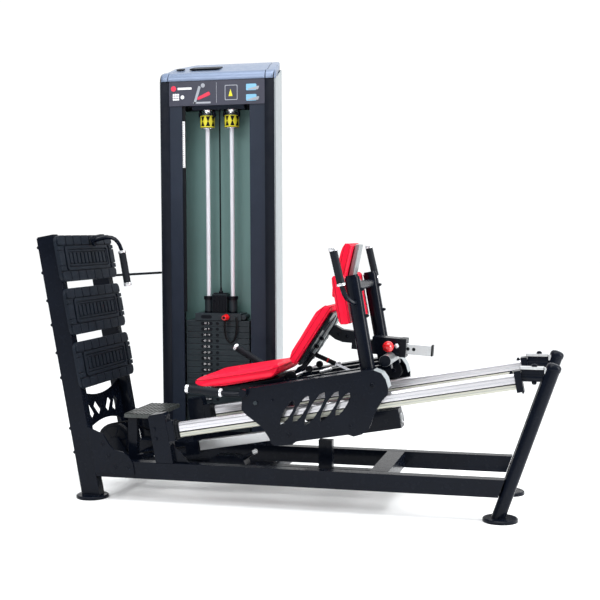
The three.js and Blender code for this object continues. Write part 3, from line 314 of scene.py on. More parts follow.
class Shape:
    """Geometry gathered in millimetres in one frame, then made into one piece."""

    def __init__(self, space=LEVEL):
        self.space = space
        self.mesh = bmesh.new()

    def add(self, points, faces):
        verts = [self.mesh.verts.new(p) for p in points]
        for face in faces:
            self.mesh.faces.new([verts[i] for i in face])

    def loft(self, rings, loop=False):
        """A skin through rings of the same number of points, capped unless it closes on itself."""
        n = len(rings[0])
        points = [p for ring in rings for p in ring]
        faces = []
        spans = len(rings) if loop else len(rings) - 1
        for r in range(spans):
            a, b = r * n, (r + 1) % len(rings) * n
            faces += [(a + i, a + (i + 1) % n, b + (i + 1) % n, b + i) for i in range(n)]
        if not loop:
            faces += [tuple(reversed(range(n))), tuple(range(len(points) - n, len(points)))]
        self.add(points, faces)

    def prism(self, outline, low, high, plane=FACING_UP):
        self.loft([[plane @ Vector((u, v, w)) for u, v in outline] for w in (low, high)])

    def ring(self, outer, inner, low, high, plane=FACING_UP):
        """A frame between two outlines of the same number of points."""
        rounds = [(outer, low), (outer, high), (inner, high), (inner, low)]
        self.loft([[plane @ Vector((u, v, w)) for u, v in line] for line, w in rounds], loop=True)

    def lathe(self, profile, origin, axis, sides=24):
        """(radius, distance) points turned about an axis."""
        place = along_axis(origin, axis)
        rings = []
        for radius, distance in profile:
            outline = circle(0, 0, max(radius, 0.05), sides)
            rings.append([place @ Vector((x, y, distance)) for x, y in outline])
        self.loft(rings)

    def tube(self, path, radius, sides=12, loop=False):
        path = [Vector(p) for p in path]
        ends = [(path[-1], path[1])] if loop else [(path[0], path[1])]
        for i in range(1, len(path) - 1):
            ends.append((path[i - 1], path[i + 1]))
        ends.append((path[-2], path[0]) if loop else (path[-2], path[-1]))
        side = Vector((0, 1, 0)) if abs((path[1] - path[0]).normalized().y) < 0.9 else Vector((1, 0, 0))
        rings = []
        for point, (a, b) in zip(path, ends):
            way = (b - a).normalized()
            side = (side - way * side.dot(way)).normalized()
            other = way.cross(side)
            rings.append([point + side * x + other * y for x, y in circle(0, 0, radius, sides)])
        self.loft(rings, loop)

    def hex_bolt(self, origin, axis, radius=9, height=8, dome=True):
        """A hexagon nut or head, with a domed end."""
        place = along_axis(origin, axis)
        hexagon = circle(0, 0, radius, 6)
        self.loft([[place @ Vector((x, y, w)) for x, y in hexagon] for w in (0, height)])
        if dome:
            r = radius * 0.72
            profile = ((1, -1), (1, 2), (0.8, 5), (0.4, 7), (0, 7.6))
            self.lathe([(r * share, height + rise) for share, rise in profile], origin, axis, 14)

    def cap_screw(self, origin, axis, radius=8, height=5):
        """A round button head with a socket."""
        r, top = radius, height
        self.lathe([(r + 3, -1), (r + 3, 1), (r, 1), (r, top - 2), (r * 0.75, top), (r * 0.4, top),
                    (r * 0.36, top - 2), (0, top - 2)], origin, axis, 18)

    def object(self, name, material, bevel=0):
        bmesh.ops.recalc_face_normals(self.mesh, faces=self.mesh.faces)
        self.mesh.transform(self.space)
        data = bpy.data.meshes.new(name)
        self.mesh.to_mesh(data)
        self.mesh.free()
        data.materials.append(material)
        data.polygons.foreach_set("use_smooth", [True] * len(data.polygons))
        obj = bpy.data.objects.new(name, data)
        SCENE.collection.objects.link(obj)
        round_edges(obj, bevel)
        return obj

    def piece(self, name, material, body, slot, bevel=0):
        obj = self.object(name, material, bevel)
        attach(obj, body)
        return obj


def round_edges(obj, width):
    """Rounds an object's sharp edges by width, in millimetres, and keeps its flat faces flat."""
    if width:
        edge = obj.modifiers.new("round", "BEVEL")
        edge.width = width * MM
        edge.segments = 2
        edge.limit_method = "ANGLE"
        edge.angle_limit = math.radians(32)
        edge.use_clamp_overlap = True
    flatten = obj.modifiers.new("flatten", "WEIGHTED_NORMAL")
    flatten.keep_sharp = False


def dress(names, material, width):
    """Gives CAD nodes their finish and rounded edges."""
    for name in names:
        obj = NODES[name]
        data = obj.data
        data.materials.clear()
        data.materials.append(material)
        data.polygons.foreach_set("use_smooth", [True] * len(data.polygons))
        weld = obj.modifiers.new("weld", "WELD")
        weld.merge_threshold = 0.00002
        round_edges(obj, width)


def both(name):
    return [name + "_near", name + "_far"]


# ---------- cables ----------
LANYARD = [
    (366, 455, 698), (365, 457, 680), (364, 462, 655), (366, 467, 630), (373, 471, 610), (385, 473, 598),
    (399, 473, 600), (410, 474, 615), (416, 476, 640), (418, 478, 668), (417, 480, 695), (416, 480.5, 716),
]
CABLE_R = 3.5
LANYARD_R = 5


def lanyard():
    route = smooth_path(LANYARD, 5)
    shape = Shape()
    shape.tube(route, LANYARD_R, 14)
    cord = shape.object("selector_lanyard", CABLE)
    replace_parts(cord, "lanyard")
    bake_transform(cord)


def lift_cable():
    low, high = (STACK_X, STACK_Y, 823), (STACK_X, STACK_Y, 1772)
    shape = Shape()
    shape.tube([Vector(low).lerp(Vector(high), i / 40) for i in range(41)], CABLE_R, 10)
    cable = shape.object("stack_cable", CABLE)
    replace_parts(cable, "lift_cable")
    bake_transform(cable)


# Cable from the drive tube under and round the front pulley, and off to the tower.
PULLEY = Vector((36, 0, 198))
WRAP_R = 73


def drive_cable():
    to_level = LEVEL.inverted() @ SLOPED
    run = [Vector((s, 0, 123 + (432 - s) / 396)) for s in range(432, 40, -12)]
    for i in range(13):
        angle = -math.pi / 2 - math.pi * i / 12
        run.append(PULLEY + Vector((math.cos(angle), 0, math.sin(angle))) * WRAP_R)
    run += [Vector((78, 0, 272)), Vector((112, 0, 272))]
    run = [to_level @ p for p in run]
    enter = Vector((134, 478, 104))
    run += [run[-1].lerp(enter, t) for t in (0.1, 0.2, 0.45, 0.7, 1)]
    shape = Shape()
    shape.tube(run, CABLE_R, 10)
    cable = shape.object("pull_cable", CABLE)
    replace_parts(cable, "drive_cable")
    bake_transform(cable)


# ---------- upholstery ----------
def evaluated_mesh(obj):
    """A new mesh of an object as its modifiers leave it."""
    return bpy.data.meshes.new_from_object(obj.evaluated_get(bpy.context.evaluated_depsgraph_get()))


def voxelised(source, size):
    """A copy of a CAD node's mesh, remeshed evenly."""
    obj = bpy.data.objects.new("remesh", NODES[source].data.copy())
    SCENE.collection.objects.link(obj)
    remesh = obj.modifiers.new("remesh", "REMESH")
    remesh.mode = "VOXEL"
    remesh.voxel_size = size
    bpy.context.view_layer.update()
    made = evaluated_mesh(obj)
    bpy.data.objects.remove(obj)
    return made


def coordinates(mesh):
    co = np.empty(len(mesh.vertices) * 3)
    mesh.vertices.foreach_get("co", co)
    return co.reshape(-1, 3)


def relaxed(mesh, rounds):
    """Smooths a mesh a little by averaging each point with its neighbours."""
    co = coordinates(mesh)
    edges = np.array([e.vertices[:] for e in mesh.edges])
    for _ in range(rounds):
        total = np.zeros_like(co)
        count = np.zeros(len(co))
        for a, b in ((0, 1), (1, 0)):
            np.add.at(total, edges[:, a], co[edges[:, b]])
            np.add.at(count, edges[:, a], 1)
        co = 0.5 * co + 0.5 * total / count[:, None]
    mesh.vertices.foreach_set("co", co.ravel())
    mesh.update()


def inflated(mesh, toward, crown, pinned):
    """Blows a closed pad up as cloth with air in it. Points within pinned of its back stay where they are."""
    rest = coordinates(mesh)
    depth = rest @ np.array(toward)
    obj = bpy.data.objects.new("inflate", mesh)
    SCENE.collection.objects.link(obj)
    held = obj.vertex_groups.new(name="backing")
    held.add([int(i) for i in np.flatnonzero(depth < depth.min() + pinned)], 1.0, "REPLACE")
    cloth = obj.modifiers.new("cloth", "CLOTH")
    cloth.settings.use_pressure = True
    cloth.settings.uniform_pressure_force = 4
    cloth.settings.vertex_group_mass = "backing"
    cloth.settings.effector_weights.gravity = 0
    cloth.settings.quality = 5
    cloth.point_cache.frame_start = 1
    cloth.point_cache.frame_end = 20
    for moment in range(1, 21):
        SCENE.frame_set(moment)
    blown = evaluated_mesh(obj)
    SCENE.frame_set(1)
    bpy.data.objects.remove(obj)
    moved = coordinates(blown) - rest
    far = np.linalg.norm(moved, axis=1, keepdims=True)
    moved *= np.minimum(1, crown / np.maximum(far, 1e-9))
    blown.vertices.foreach_set("co", (rest + moved).ravel())
    blown.update()
    return blown


def extents(mesh, axes):
    co = coordinates(mesh)
    return [((co @ np.array(a)).min(), (co @ np.array(a)).max()) for a in axes]


def seam_loops(shape, mesh, axes, box, levels, inset, radius):
    """Rounded-rectangle seams laid on a pad's surface, at the given depths along its third axis."""
    tree = BVHTree.FromPolygons([v.co for v in mesh.vertices], [p.vertices[:] for p in mesh.polygons])
    (u0, u1), (v0, v1), _ = box
    u_axis, v_axis, w_axis = (Vector(a) for a in axes)
    outline = rectangle(u0 + inset, v0 + inset, u1 - inset, v1 - inset, radius, 6)
    for level in levels:
        line = []
        for (ax, ay), (bx, by) in zip(outline, outline[1:] + outline[:1]):
            steps = max(1, int(math.hypot(bx - ax, by - ay) / 0.012))
            for k in range(steps):
                u, v = ax + (bx - ax) * k / steps, ay + (by - ay) * k / steps
                line.append(tree.find_nearest(u_axis * u + v_axis * v + w_axis * level)[0])
        shape.tube(line, 0.0014, 8, loop=True)


def cushion(name, source, body, axes, shrink=0.004, crown=0.009, pinned=0.014):
    """A padded cushion over a CAD solid. The third axis points from its backing to the sitter."""
    mesh = voxelised(source, 0.0055)
    box = extents(mesh, axes)
    mesh.vertices.foreach_set("co", (coordinates(mesh) - shrink * normals(mesh)).ravel())
    relaxed(mesh, 2)
    mesh = inflated(mesh, axes[2], crown, pinned)
    relaxed(mesh, 2)
    w0, w1 = box[2]
    seams = Shape(Matrix.Identity(4))
    seam_loops(seams, mesh, axes, box, (w0 + 0.011, w1 - 0.011), 0.002, 0.02)
    mesh.name = name
    mesh.materials.clear()
    mesh.materials.append(VINYL)
    mesh.polygons.foreach_set("use_smooth", [True] * len(mesh.polygons))
    obj = bpy.data.objects.new(name, mesh)
    SCENE.collection.objects.link(obj)
    finer = obj.modifiers.new("subdivide", "SUBSURF")
    finer.levels = finer.render_levels = 1
    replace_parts(obj, source)
    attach(obj, body)
    seams.piece(name + "_seams", STITCH, body, "red_vinyl")


def normals(mesh):
    out = np.empty(len(mesh.vertices) * 3)
    mesh.vertex_normals.foreach_get("vector", out)
    return out.reshape(-1, 3)


def upholstery():
    up_slope = (math.cos(INCLINE), 0, math.sin(INCLINE))
    square = (-math.sin(INCLINE), 0, math.cos(INCLINE))
    across = (0, 1, 0)
    back_up = Vector((141, 0, 215)).normalized()
    back_front = Vector((-back_up.z, 0, back_up.x))
    head_up = Vector((50, 0, 211)).normalized()
    head_front = Vector((-head_up.z, 0, head_up.x))
    cushion("seat_cushion", "seat_pad", "carriage", (up_slope, across, square))
    cushion("back_cushion", "back_pad", "back", (back_up, across, back_front))
    cushion("head_cushion", "head_pad", "carriage", (head_up, across, head_front), crown=0.007)
    for word, _ in SIDES:
        cushion("shoulder_cushion_" + word, "shoulder_pad_" + word, "carriage",
                (square, across, tuple(-c for c in up_slope)), crown=0.007)


# ---------- foot plates ----------
PLATE_HALF = 276
PLATE_SPANS = (("bottom", 462, 658), ("middle", 689, 887), ("top", 916, 1113))


def foot_plate(word, low, high):
    """Moulded rubber plate: border blocks, a raised frame and upright ridges in its middle."""
    height = high - low
    mid = (low + high) / 2
    w = PLATE_HALF
    face, crest = 58, 66
    shape = Shape(SLOPED)
    shape.prism(rectangle(-w, low, w, high, 30, 6), 46, face, FACING_RAIL)
    rim = 0.21 * height
    slant = 5
    cuts = [-w, -196, -128, -46, 30, 112, 186, w]
    for flip in (-1, 1):
        outer, inner = mid + flip * height / 2, mid + flip * (height / 2 - rim)
        for i, (a, b) in enumerate(zip(cuts, cuts[1:])):
            lean = slant if i % 2 else -slant
            left = a + (0 if i == 0 else 3)
            right = b - (0 if i == len(cuts) - 2 else 3)
            block = [(left, outer), (right, outer),
                     (right + (lean if i < len(cuts) - 2 else -8), inner),
                     (left + (-lean if i > 0 else 8), inner)]
            if flip > 0:
                block.reverse()
            corner = [26 if abs(y) >= w and v == outer else 5 for y, v in block]
            shape.prism(rounded(block, corner, 3), face - 1, crest, FACING_RAIL)
        side_cuts = [-0.5 * height + rim + 4, -0.16 * height, 0.17 * height, 0.5 * height - rim - 4]
        for a, b in zip(side_cuts, side_cuts[1:]):
            y0, y1 = sorted((flip * w, flip * (w - 44)))
            shape.prism(rectangle(y0, mid + a + 1.5, y1, mid + b - 1.5, 3, 2), face - 1, crest, FACING_RAIL)
    ring_w, ring_h = 216, 0.5 * height - rim - 5
    shape.ring(rectangle(-ring_w, mid - ring_h, ring_w, mid + ring_h, 16),
               rectangle(-ring_w + 15, mid - ring_h + 13, ring_w - 15, mid + ring_h - 13, 8),
               face - 1, crest, FACING_RAIL)
    bed_w, bed_h = ring_w - 20, ring_h - 17
    shape.ring(rectangle(-bed_w, mid - bed_h, bed_w, mid + bed_h, 7),
               rectangle(-bed_w + 8, mid - bed_h + 7, bed_w - 8, mid + bed_h - 7, 4),
               face - 1, crest - 2, FACING_RAIL)
    ridges = 10
    pitch = (2 * bed_w - 22) / ridges
    for i in range(ridges):
        y = -bed_w + 11 + pitch * (i + 0.5)
        shape.prism(rectangle(y - 0.32 * pitch, mid - bed_h + 11, y + 0.32 * pitch, mid + bed_h - 11, 5, 3),
                    face - 1, crest - 2, FACING_RAIL)
    plate = shape.piece("tread_plate_" + word, TREAD, "frame", "tread_rubber", bevel=1.4)
    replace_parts(plate, "foot_plate_" + word)


def foot_tower():
    for word, low, high in PLATE_SPANS:
        foot_plate(word, low, high)
    nuts = Shape(SLOPED)
    caps = Shape(SLOPED)
    for _, side in SIDES:
        y = side * POST_Y
        for n in (199, 302, 520, 627, 747, 851, 971, 1079):
            nuts.lathe([(13, 0), (13, 2.5), (0, 2.5)], (-35, y, n), (-1, 0, 0), 18)
            nuts.hex_bolt((-37.5, y, n), (-1, 0, 0), 9.5, 8)
        caps.prism(rectangle(-34, y - 24, 44, y + 24, 9), 1116, 1121, FACING_UP)
    nuts.piece("tower_nuts", PAINT, "frame", "frame_paint", bevel=0.6)
    caps.piece("upright_caps", PLASTIC, "frame", "black_plastic", bevel=2)
    tread = Shape()
    count = 8
    for i in range(count):
        x = 137 + i * (120 / (count - 1))
        for k in range(4):
            y = -192 + k * 77.5
            tread.prism(rectangle(x - 5.5, y, x + 5.5, y + 70, 2, 2), 351, 356)
    tread.prism(rectangle(129, -199, 265, 120, 8), 338, 352.5)
    tread.piece("step_tread", STEP, "frame", "tread_rubber", bevel=0.8)


# ---------- grips ----------
def grip(rubber, metal, start, end, radius=15.2):
    """A ribbed sleeve from start to end, with a polished ring at its start and a cap past its end."""
    start, end = Vector(start), Vector(end)
    way = (end - start).normalized()
    length = (end - start).length
    ribs = int(length / 6)
    profile = [(radius, 0)]
    for i in range(ribs):
        a = length * i / ribs
        profile += [(radius, a + 1.2), (radius + 1.0, a + 2.2), (radius + 1.0, a + 4.4), (radius, a + 5.2)]
    profile.append((radius, length))
    rubber.lathe(profile, start, way, 28)
    r = radius
    metal.lathe([(r - 2, -8), (r + 1.5, -8), (r + 2.2, -6.5), (r + 2.2, 0.5), (r + 1, 2)], start, way, 28)
    metal.lathe([(r + 1, -1), (r + 1.8, 0), (r + 1.8, 11), (r, 13.5), (8, 14), (7, 12.5), (0, 12.5)],
                end, way, 28)


def grips():
    for word, side in SIDES:
        rubber, metal = Shape(SLOPED), Shape(SLOPED)
        grip(rubber, metal, (1247, side * 366, 712), (1240, side * 367, 842))
        rubber.piece("upper_grip_" + word, GRIP, "carriage", "grip_rubber")
        metal.piece("upper_grip_trim_" + word, CAST_CAP, "carriage", "chrome")
    for name, body, start, end in (
        ("side_grip_near", "carriage", (594, -309, 474.6), (465, -317.9, 486.8)),
        ("side_grip_far", "start_lever", (598, 302, 516.1), (475, 303, 590.8)),
        ("assist_grip", "frame", (27.4, 45, 1029), (50.6, 45, 896)),
    ):
        rubber, metal = Shape(), Shape()
        grip(rubber, metal, start, end)
        rubber.piece(name, GRIP, body, "grip_rubber")
        metal.piece(name + "_trim", CAST_CAP, body, "chrome")


# ---------- rails and rear posts ----------
RAIL_Y = 233
RAIL_HALF, RAIL_BOTTOM, RAIL_TOP = 21, 200, 262
POST_Y = 236
POST_FOOT_X, POST_LEAN, POST_TOP = 1692, 0.3486, 592.4


def rail_outlines(y):
    """The rounded upper part of the section, the side grooves under it, and the lower part."""
    half, low, high = RAIL_HALF, RAIL_BOTTOM, RAIL_TOP
    split = 224
    upper = rounded([(half, split), (half, high), (-half, high), (-half, split)], [1, 15, 15, 1], 7)
    neck = rectangle(-half + 2.5, split - 4, half - 2.5, split)
    lower = rounded([(half, low), (half, split - 4), (-half, split - 4), (-half, low)], [9, 1, 1, 9], 6)
    return [[(y + a, b) for a, b in line] for line in (upper, neck, lower)]


def rails():
    # One silver rail drawn in bands: its lit top in the bright silver, its groove near black and its lower
    # side in the dimmer copy, painted shade.
    finishes = (("upper", RAIL), ("groove", COLUMN), ("lower", RAIL_SHADED_LOWER))
    for word, side in SIDES:
        y = side * RAIL_Y
        for (part, finish), outline in zip(finishes, rail_outlines(y)):
            shape = Shape(SLOPED)
            shape.prism(outline, 398, 1845, FACING_RAIL)
            rail = shape.piece(f"rail_{part}_{word}", finish, "frame", "rail_silver")
            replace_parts(rail, "slide_rail_" + word)
        # Thin grey lines in the rail's fine side grooves, darker than its silver: painted shade.
        lines = Shape(SLOPED)
        for across in (-21.2, 21.2):
            for n, half in ((236, 0.7), (211, 0.6)):
                line = rectangle(y + across - 0.4, n - half, y + across + 0.4, n + half)
                lines.prism(line, 441, 1826, FACING_RAIL)
        lines.piece("rail_lines_" + word, SHROUD, "frame", "rail_silver")
        ring = Shape(SLOPED)
        for start, stop, grow in ((424.5, 430, 9), (430, 441, 6), (441, 446, 3)):
            half = RAIL_HALF + grow
            outline = rectangle(y - half, RAIL_BOTTOM - grow, y + half, RAIL_TOP + grow, 17, 5)
            ring.prism(outline, start, stop, FACING_RAIL)
        ring.piece("rail_bumpers_" + word, RUBBER, "frame", "black_plastic", bevel=1.2)


def frame_hardware():
    bolts = Shape()
    slope_bolts = Shape(SLOPED)
    for _, side in SIDES:
        out = (0, side, 0)
        for x, z in ((62, 236), (88, 186), (120, 140), (176, 140)):
            bolts.cap_screw((x, side * 267, z), out, 7, 4)
        for x, y in ((0, side * POST_Y), (1704, side * POST_Y)):
            for angle in (35, 145, 215, 325):
                a = math.radians(angle)
                bolts.lathe([(8, 12.5), (8, 14.6), (5, 14.6), (4.5, 12), (0, 12)],
                            (x + 55 * math.cos(a), y + 55 * math.sin(a), 0), (0, 0, 1), 14)
        for s, n in ((340, 210), (340, 250)):
            slope_bolts.hex_bolt((s, side * 263, n), out, 8, 6, dome=False)
        slope_bolts.hex_bolt((1815, side * RAIL_Y, 261), (0, 0, 1), 8, 5)
        rear_clamp(side)
    bolts.piece("frame_bolts", PAINT, "frame", "frame_paint", bevel=0.5)
    slope_bolts.piece("rail_seat_bolts", PAINT, "frame", "frame_paint", bevel=0.5)


def rear_clamp(side):
    """The bright bar and stop on a rail's rear arm, its knob screws, and the domed cap of the post."""
    y = side * RAIL_Y
    word = "near" if side < 0 else "far"
    bar = Shape()
    bar.prism(rectangle(1774.5, y - 18.5, 1864.5, y + 18.5, 3), 592.5, 602.6)
    bar.prism(rectangle(1864, y - 14.6, 1884, y + 14.6, 4), 577, 600)
    bar.piece("clamp_bar_" + word, SILVER, "frame", "rail_silver", bevel=1.2)
    knobs = Shape()
    dome = [(7, 0), (9, 1), (10, 4), (9, 8), (6, 11), (0, 12.5)]
    knobs.lathe(dome, (1828, y, 602), (0, 0, 1), 20)
    knobs.lathe(dome, (1828, y, 545), (0, 0, -1), 20)
    top = Vector((POST_FOOT_X + POST_LEAN * POST_TOP, side * POST_Y, POST_TOP))
    way = Vector((POST_LEAN, 0, 1)).normalized()
    cap = [(26.8, -4), (28.6, -3), (28.6, 8), (27, 15), (22, 20.5), (12, 23.5), (0, 24)]
    knobs.lathe(cap, top, way, 32)
    knobs.piece("clamp_knobs_" + word, PAINT, "frame", "frame_paint")


def carriage_hardware():
    heads = Shape(SLOPED)
    bright = Shape(SLOPED)
    for _, side in SIDES:
        out = (0, side, 0)
        face = side * 289
        for s, n, r in ((802, 300, 9), (1284, 301, 9), (1172, 154, 7), (916, 154, 7), (874, 300, 4)):
            heads.cap_screw((s, face, n), out, r, 5)
        for n in (568, 676):
            heads.hex_bolt((1286, side * 192, n), (1, 0, 0), 8, 7)
        heads.lathe([(19, 0), (19, 4), (14, 6), (0, 6)], (1258, side * 192, 361), (0, 0, 1), 20)
        bright.lathe([(9, 0), (9, 3), (6, 4), (0, 4)], (802, face + side * 5, 300), out, 6)
    heads.piece("carriage_bolts", PAINT, "carriage", "frame_paint", bevel=0.5)
    bright.piece("axle_ends", IRON, "carriage", "stack_iron", bevel=0.5)
    recline_links()
    back_bracket()
    damper_ring()
    carriage_trim()
    adjuster_bar()
    adjuster_trim()
    head_frame()


def carriage_trim():
    """Light grey skins on the housings' rear corners, painted highlight where their black paint catches the
    light, and a grey metal sleeve on the cross tube between them, partly painted highlight.
    """
    # The rims are black paint: these light grey skins on their rounded rear corners are painted highlight.
    rims = Shape(SLOPED)
    for _, side in SIDES:
        y0, y1 = sorted((side * 215.4, side * 288.4))
        outer = [(1299, 360.2), (1328.5, 343), (1341, 316.5), (1345, 281)]
        inner = [(1344, 281), (1340, 316), (1327.5, 342), (1298.5, 359)]
        rims.loft([[(s, y, n) for s, n in outer + inner] for y in (y0, y1)])
    rims.piece("carriage_rim_highlights", SHROUD, "carriage", "rail_silver", bevel=0.4)
    # A mid-grey metal sleeve over the dark cross tube: partly a real sleeve, partly painted highlight on the
    # tube.
    tube = Shape(SLOPED)
    tube.lathe([(23.2, -158), (23.8, -158), (23.8, 158), (23.2, 158)], (1325, 0, 376), (0, 1, 0), 32)
    tube.piece("rear_cross_sleeve_highlight", BACKING, "carriage", "rail_silver")


def recline_links():
    """Thin bright links with a short capsule behind them, and their dark hubs, beside the seat."""
    links = Shape()
    hubs = Shape()
    for _, side in SIDES:
        y = side * 92
        links.tube([(782, y, 490), (833, y, 516), (912, y, 551)], 4, 12)
        links.lathe([(0, 0), (5, 1), (8.5, 6), (8.5, 50), (5, 55), (0, 56)], (955, y, 541), (57, 0, 19), 20)
        for x, z, r in ((833, 516, 26), (912, 551, 15)):
            profile = [(r - 3, 0), (r, 2), (r, 12), (r - 3, 14), (r * 0.5, 14), (r * 0.45, 12), (0, 12)]
            hubs.lathe(profile, (x, side * 84, z), (0, side, 0), 24)
    links.piece("seat_links", CAST_CAP, "carriage", "chrome")
    hubs.piece("link_hubs", PLASTIC, "carriage", "black_plastic", bevel=0.5)


def back_bracket():
    """Light skins on the backrest's ribs, and their bolts."""
    skins = Shape()
    bolts = Shape()
    for _, side in SIDES:
        y0, y1 = sorted((side * 23.4, side * 36.6))
        outline = [back_point(u, v) for u, v in ((58, 62), (248, 62), (209, 70.8), (58, 73))]
        skins.prism(outline, y0, y1, FACING_FRONT)
        for u, v in ((92, 67), (131, 67)):
            x, z = back_point(u, v)
            bolts.hex_bolt((x, side * 36.6, z), (0, side, 0), 8, 6)
    skins.piece("back_bracket", SHROUD, "back", "rail_silver", bevel=1)
    bolts.piece("back_bolts", PAINT, "back", "frame_paint", bevel=0.5)


def damper_ring():
    foot, slope, x = Vector((1078, 0, 534)), 0.419, 970
    ring = Shape()
    band = [(10.2, -3), (11, -3), (11, 3), (10.2, 3)]
    ring.lathe(band, (x, 0, foot.z + (foot.x - x) * slope), (-1, 0, slope), 24)
    ring.piece("damper_ring", KNOB, "damper", "knob_red")


def back_point(u, v):
    """Along the backrest from its lower front corner, and square to it towards the rear."""
    run, rise = Vector((141, 215)).normalized()
    return 827 + run * u + rise * v, 600 + rise * u - run * v


def adjuster_bar():
    """The recline's square tube and the bent black link on its front end."""
    tube = Shape(ADJUSTER)
    tube.prism(rectangle(-22, -22, 22, 22, 4), -56, 184, FACING_RAIL)
    bar = tube.piece("adjuster_bar", SILVER, "adjuster", "rail_silver", bevel=0.6)
    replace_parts(bar, "adjuster_tube")
    link = Shape(ADJUSTER)
    arm = [(-254, 33), (-232, 70), (-222, 68), (-191, 54), (-194, 4), (-222, 12)]
    link.prism(rounded(arm, 4), -19, 19, FACING_FRONT)
    elbow = [(-196, 56), (-128, 52), (-128, 18), (-150, 3), (-196, 3)]
    link.prism(rounded(elbow, 5), -21, 21, FACING_FRONT)
    link.prism(rectangle(-22, -22, 22, 22, 4), -150, -55, FACING_RAIL)
    for x, z in ((-208, 33), (-172, 29)):
        link.cap_screw((x, -20, z), (0, -1, 0), 5, 4)
    black = link.piece("adjuster_link", PAINT, "adjuster", "frame_paint", bevel=1.5)
    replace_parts(black, "adjuster_tube")


def adjuster_trim():
    """The tube's pin holes as near-black discs of painted shade, its end plug, and the collar and screw of
    its housing.
    """
    holes = Shape(ADJUSTER)
    # Each pin hole is a near-black disc on the tube's side: painted shade for its hollow inside.
    for i in range(5):
        for y in (-22.5, 21.7):
            holes.prism(circle(14 + 24 * i, 0, 7.2, 24), y, y + 0.8, FACING_FRONT)
    holes.prism(rectangle(-22.4, -22.4, 22.4, 22.4, 4), 181, 187.5, FACING_RAIL)
    holes.piece("adjuster_trim", RUBBER, "adjuster", "black_plastic")
    sleeve = Shape(ADJUSTER)
    sleeve.ring(rectangle(-38, -36, 38, 42, 7), rectangle(-24, -24, 24, 24, 7), 52, 79, FACING_RAIL)
    sleeve.piece("adjuster_collar", PLASTIC, "carriage", "black_plastic", bevel=1.5)
    screw = Shape(ADJUSTER)
    screw.cap_screw((41, -36.5, 10), (0, -1, 0), 6, 4)
    screw.piece("adjuster_screw", CAST_CAP, "carriage", "chrome")


def head_frame():
    """The bright bar behind the head pad and the dark tube across the shoulder posts."""
    plate = Shape()
    outline = [(1047.5, 856), (1096, 1066), (1113, 1064), (1086, 934), (1112, 908), (1112, 888), (1078, 852)]
    plate.prism(rounded(outline, [3, 3, 3, 12, 6, 6, 6]), -40, 40, FACING_FRONT)
    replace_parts(plate.piece("head_bar", BACKING, "carriage", "rail_silver", bevel=2), "head_frame")
    cross = Shape()
    cross.lathe([(17, -161), (18, -160), (18, 160), (17, 161)], (1119, 0, 898), (0, 1, 0), 32)
    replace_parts(cross.piece("head_cross_tube", PAINT, "carriage", "frame_paint"), "head_frame")


# ---------- weight tower ----------
TOWER_X = 328
FRONT = 475
STACK_X, STACK_Y = 320, 543
GUIDE_REACH = 60.5  # from the stack's middle to a guide rod
EAVE = 1829
HOOD_RISE = math.tan(math.radians(14.5))


def tower_shell():
    dress(["tower_shell_left", "tower_shell_right"], SHROUD, 1.2)
    columns = Shape()
    face = [(234.7, 12), (234.7, -2), (279, -2), (283.6, 3), (283.4, 10), (281.5, 10), (280, -0.4),
            (236, -0.4), (236, 12)]
    inside = [(233.6, 12), (234.8, 12), (234.8, 56), (276, 56), (276, 57.5), (233.6, 57.5)]
    for side in (-1, 1):
        for outline in (face, inside):
            columns.prism([(TOWER_X + side * x, FRONT + y) for x, y in outline], 36, EAVE + 1)
    columns.piece("tower_columns", COLUMN, "frame", "frame_paint")
    board = Shape()
    outline = rectangle(TOWER_X - 235, 1713, TOWER_X + 235, EAVE - 1, 3)
    board.prism(outline, FRONT - 3, FRONT + 1, FACING_FRONT)
    board.piece("placard", BOARD, "frame", "black_plastic", bevel=0.6)
    signs()


def signs():
    """Plain shapes that stand in for the placard's pictures and marks."""
    front, back = FRONT - 3.8, FRONT - 2.5

    def draw(name, material, outlines):
        shape = Shape()
        for outline in outlines:
            shape.prism(outline, front, back, FACING_FRONT)
        shape.piece(name, material, "frame", "black_plastic")

    sitter = rounded([(236, 1738), (300, 1762), (292, 1778), (232, 1750)], 5)
    draw("sign_disc", BOARD_RED, [circle(116, 1795, 13, 28), sitter])
    marks = [rectangle(136, 1789, 206, 1799, 2)]
    for i in range(9):
        x, z = 112 + 11 * (i % 3), 1740 + 11 * (i // 3)
        marks.append(rectangle(x, z, x + 9, z + 9, 1))
    marks.append(circle(160, 1754, 9, 20))
    draw("sign_marks", WHITE, marks)
    draw("sign_seat", BOARD_GREY, [
        rounded([(214, 1722), (226, 1722), (252, 1800), (240, 1806)], 5),
        rounded([(214, 1722), (300, 1722), (300, 1730), (214, 1730)], 3),
        circle(262, 1806, 10, 24),
        rectangle(328, 1722, 329.5, 1818, 0.5, 1),
    ])
    draw("sign_arrow", YELLOW, [[(388, 1752), (408, 1752), (398, 1786)]])
    draw("sign_steps", BOARD_BLUE, [rectangle(474, z, 524, z + 30, 5) for z in (1776, 1728)])
    frames = Shape()
    outer, inner = rectangle(370, 1734, 432, 1804, 5), rectangle(373, 1737, 429, 1801, 4)
    frames.ring(outer, inner, front, back, FACING_FRONT)
    for z in (1791, 1743):
        wedge = rounded([(468, z - 12), (532, z - 12), (538, z + 4), (530, z + 4)], 2)
        frames.prism(wedge, front - 0.4, back, FACING_FRONT)
    frames.piece("sign_frames", BOARD_GREY, "frame", "black_plastic")


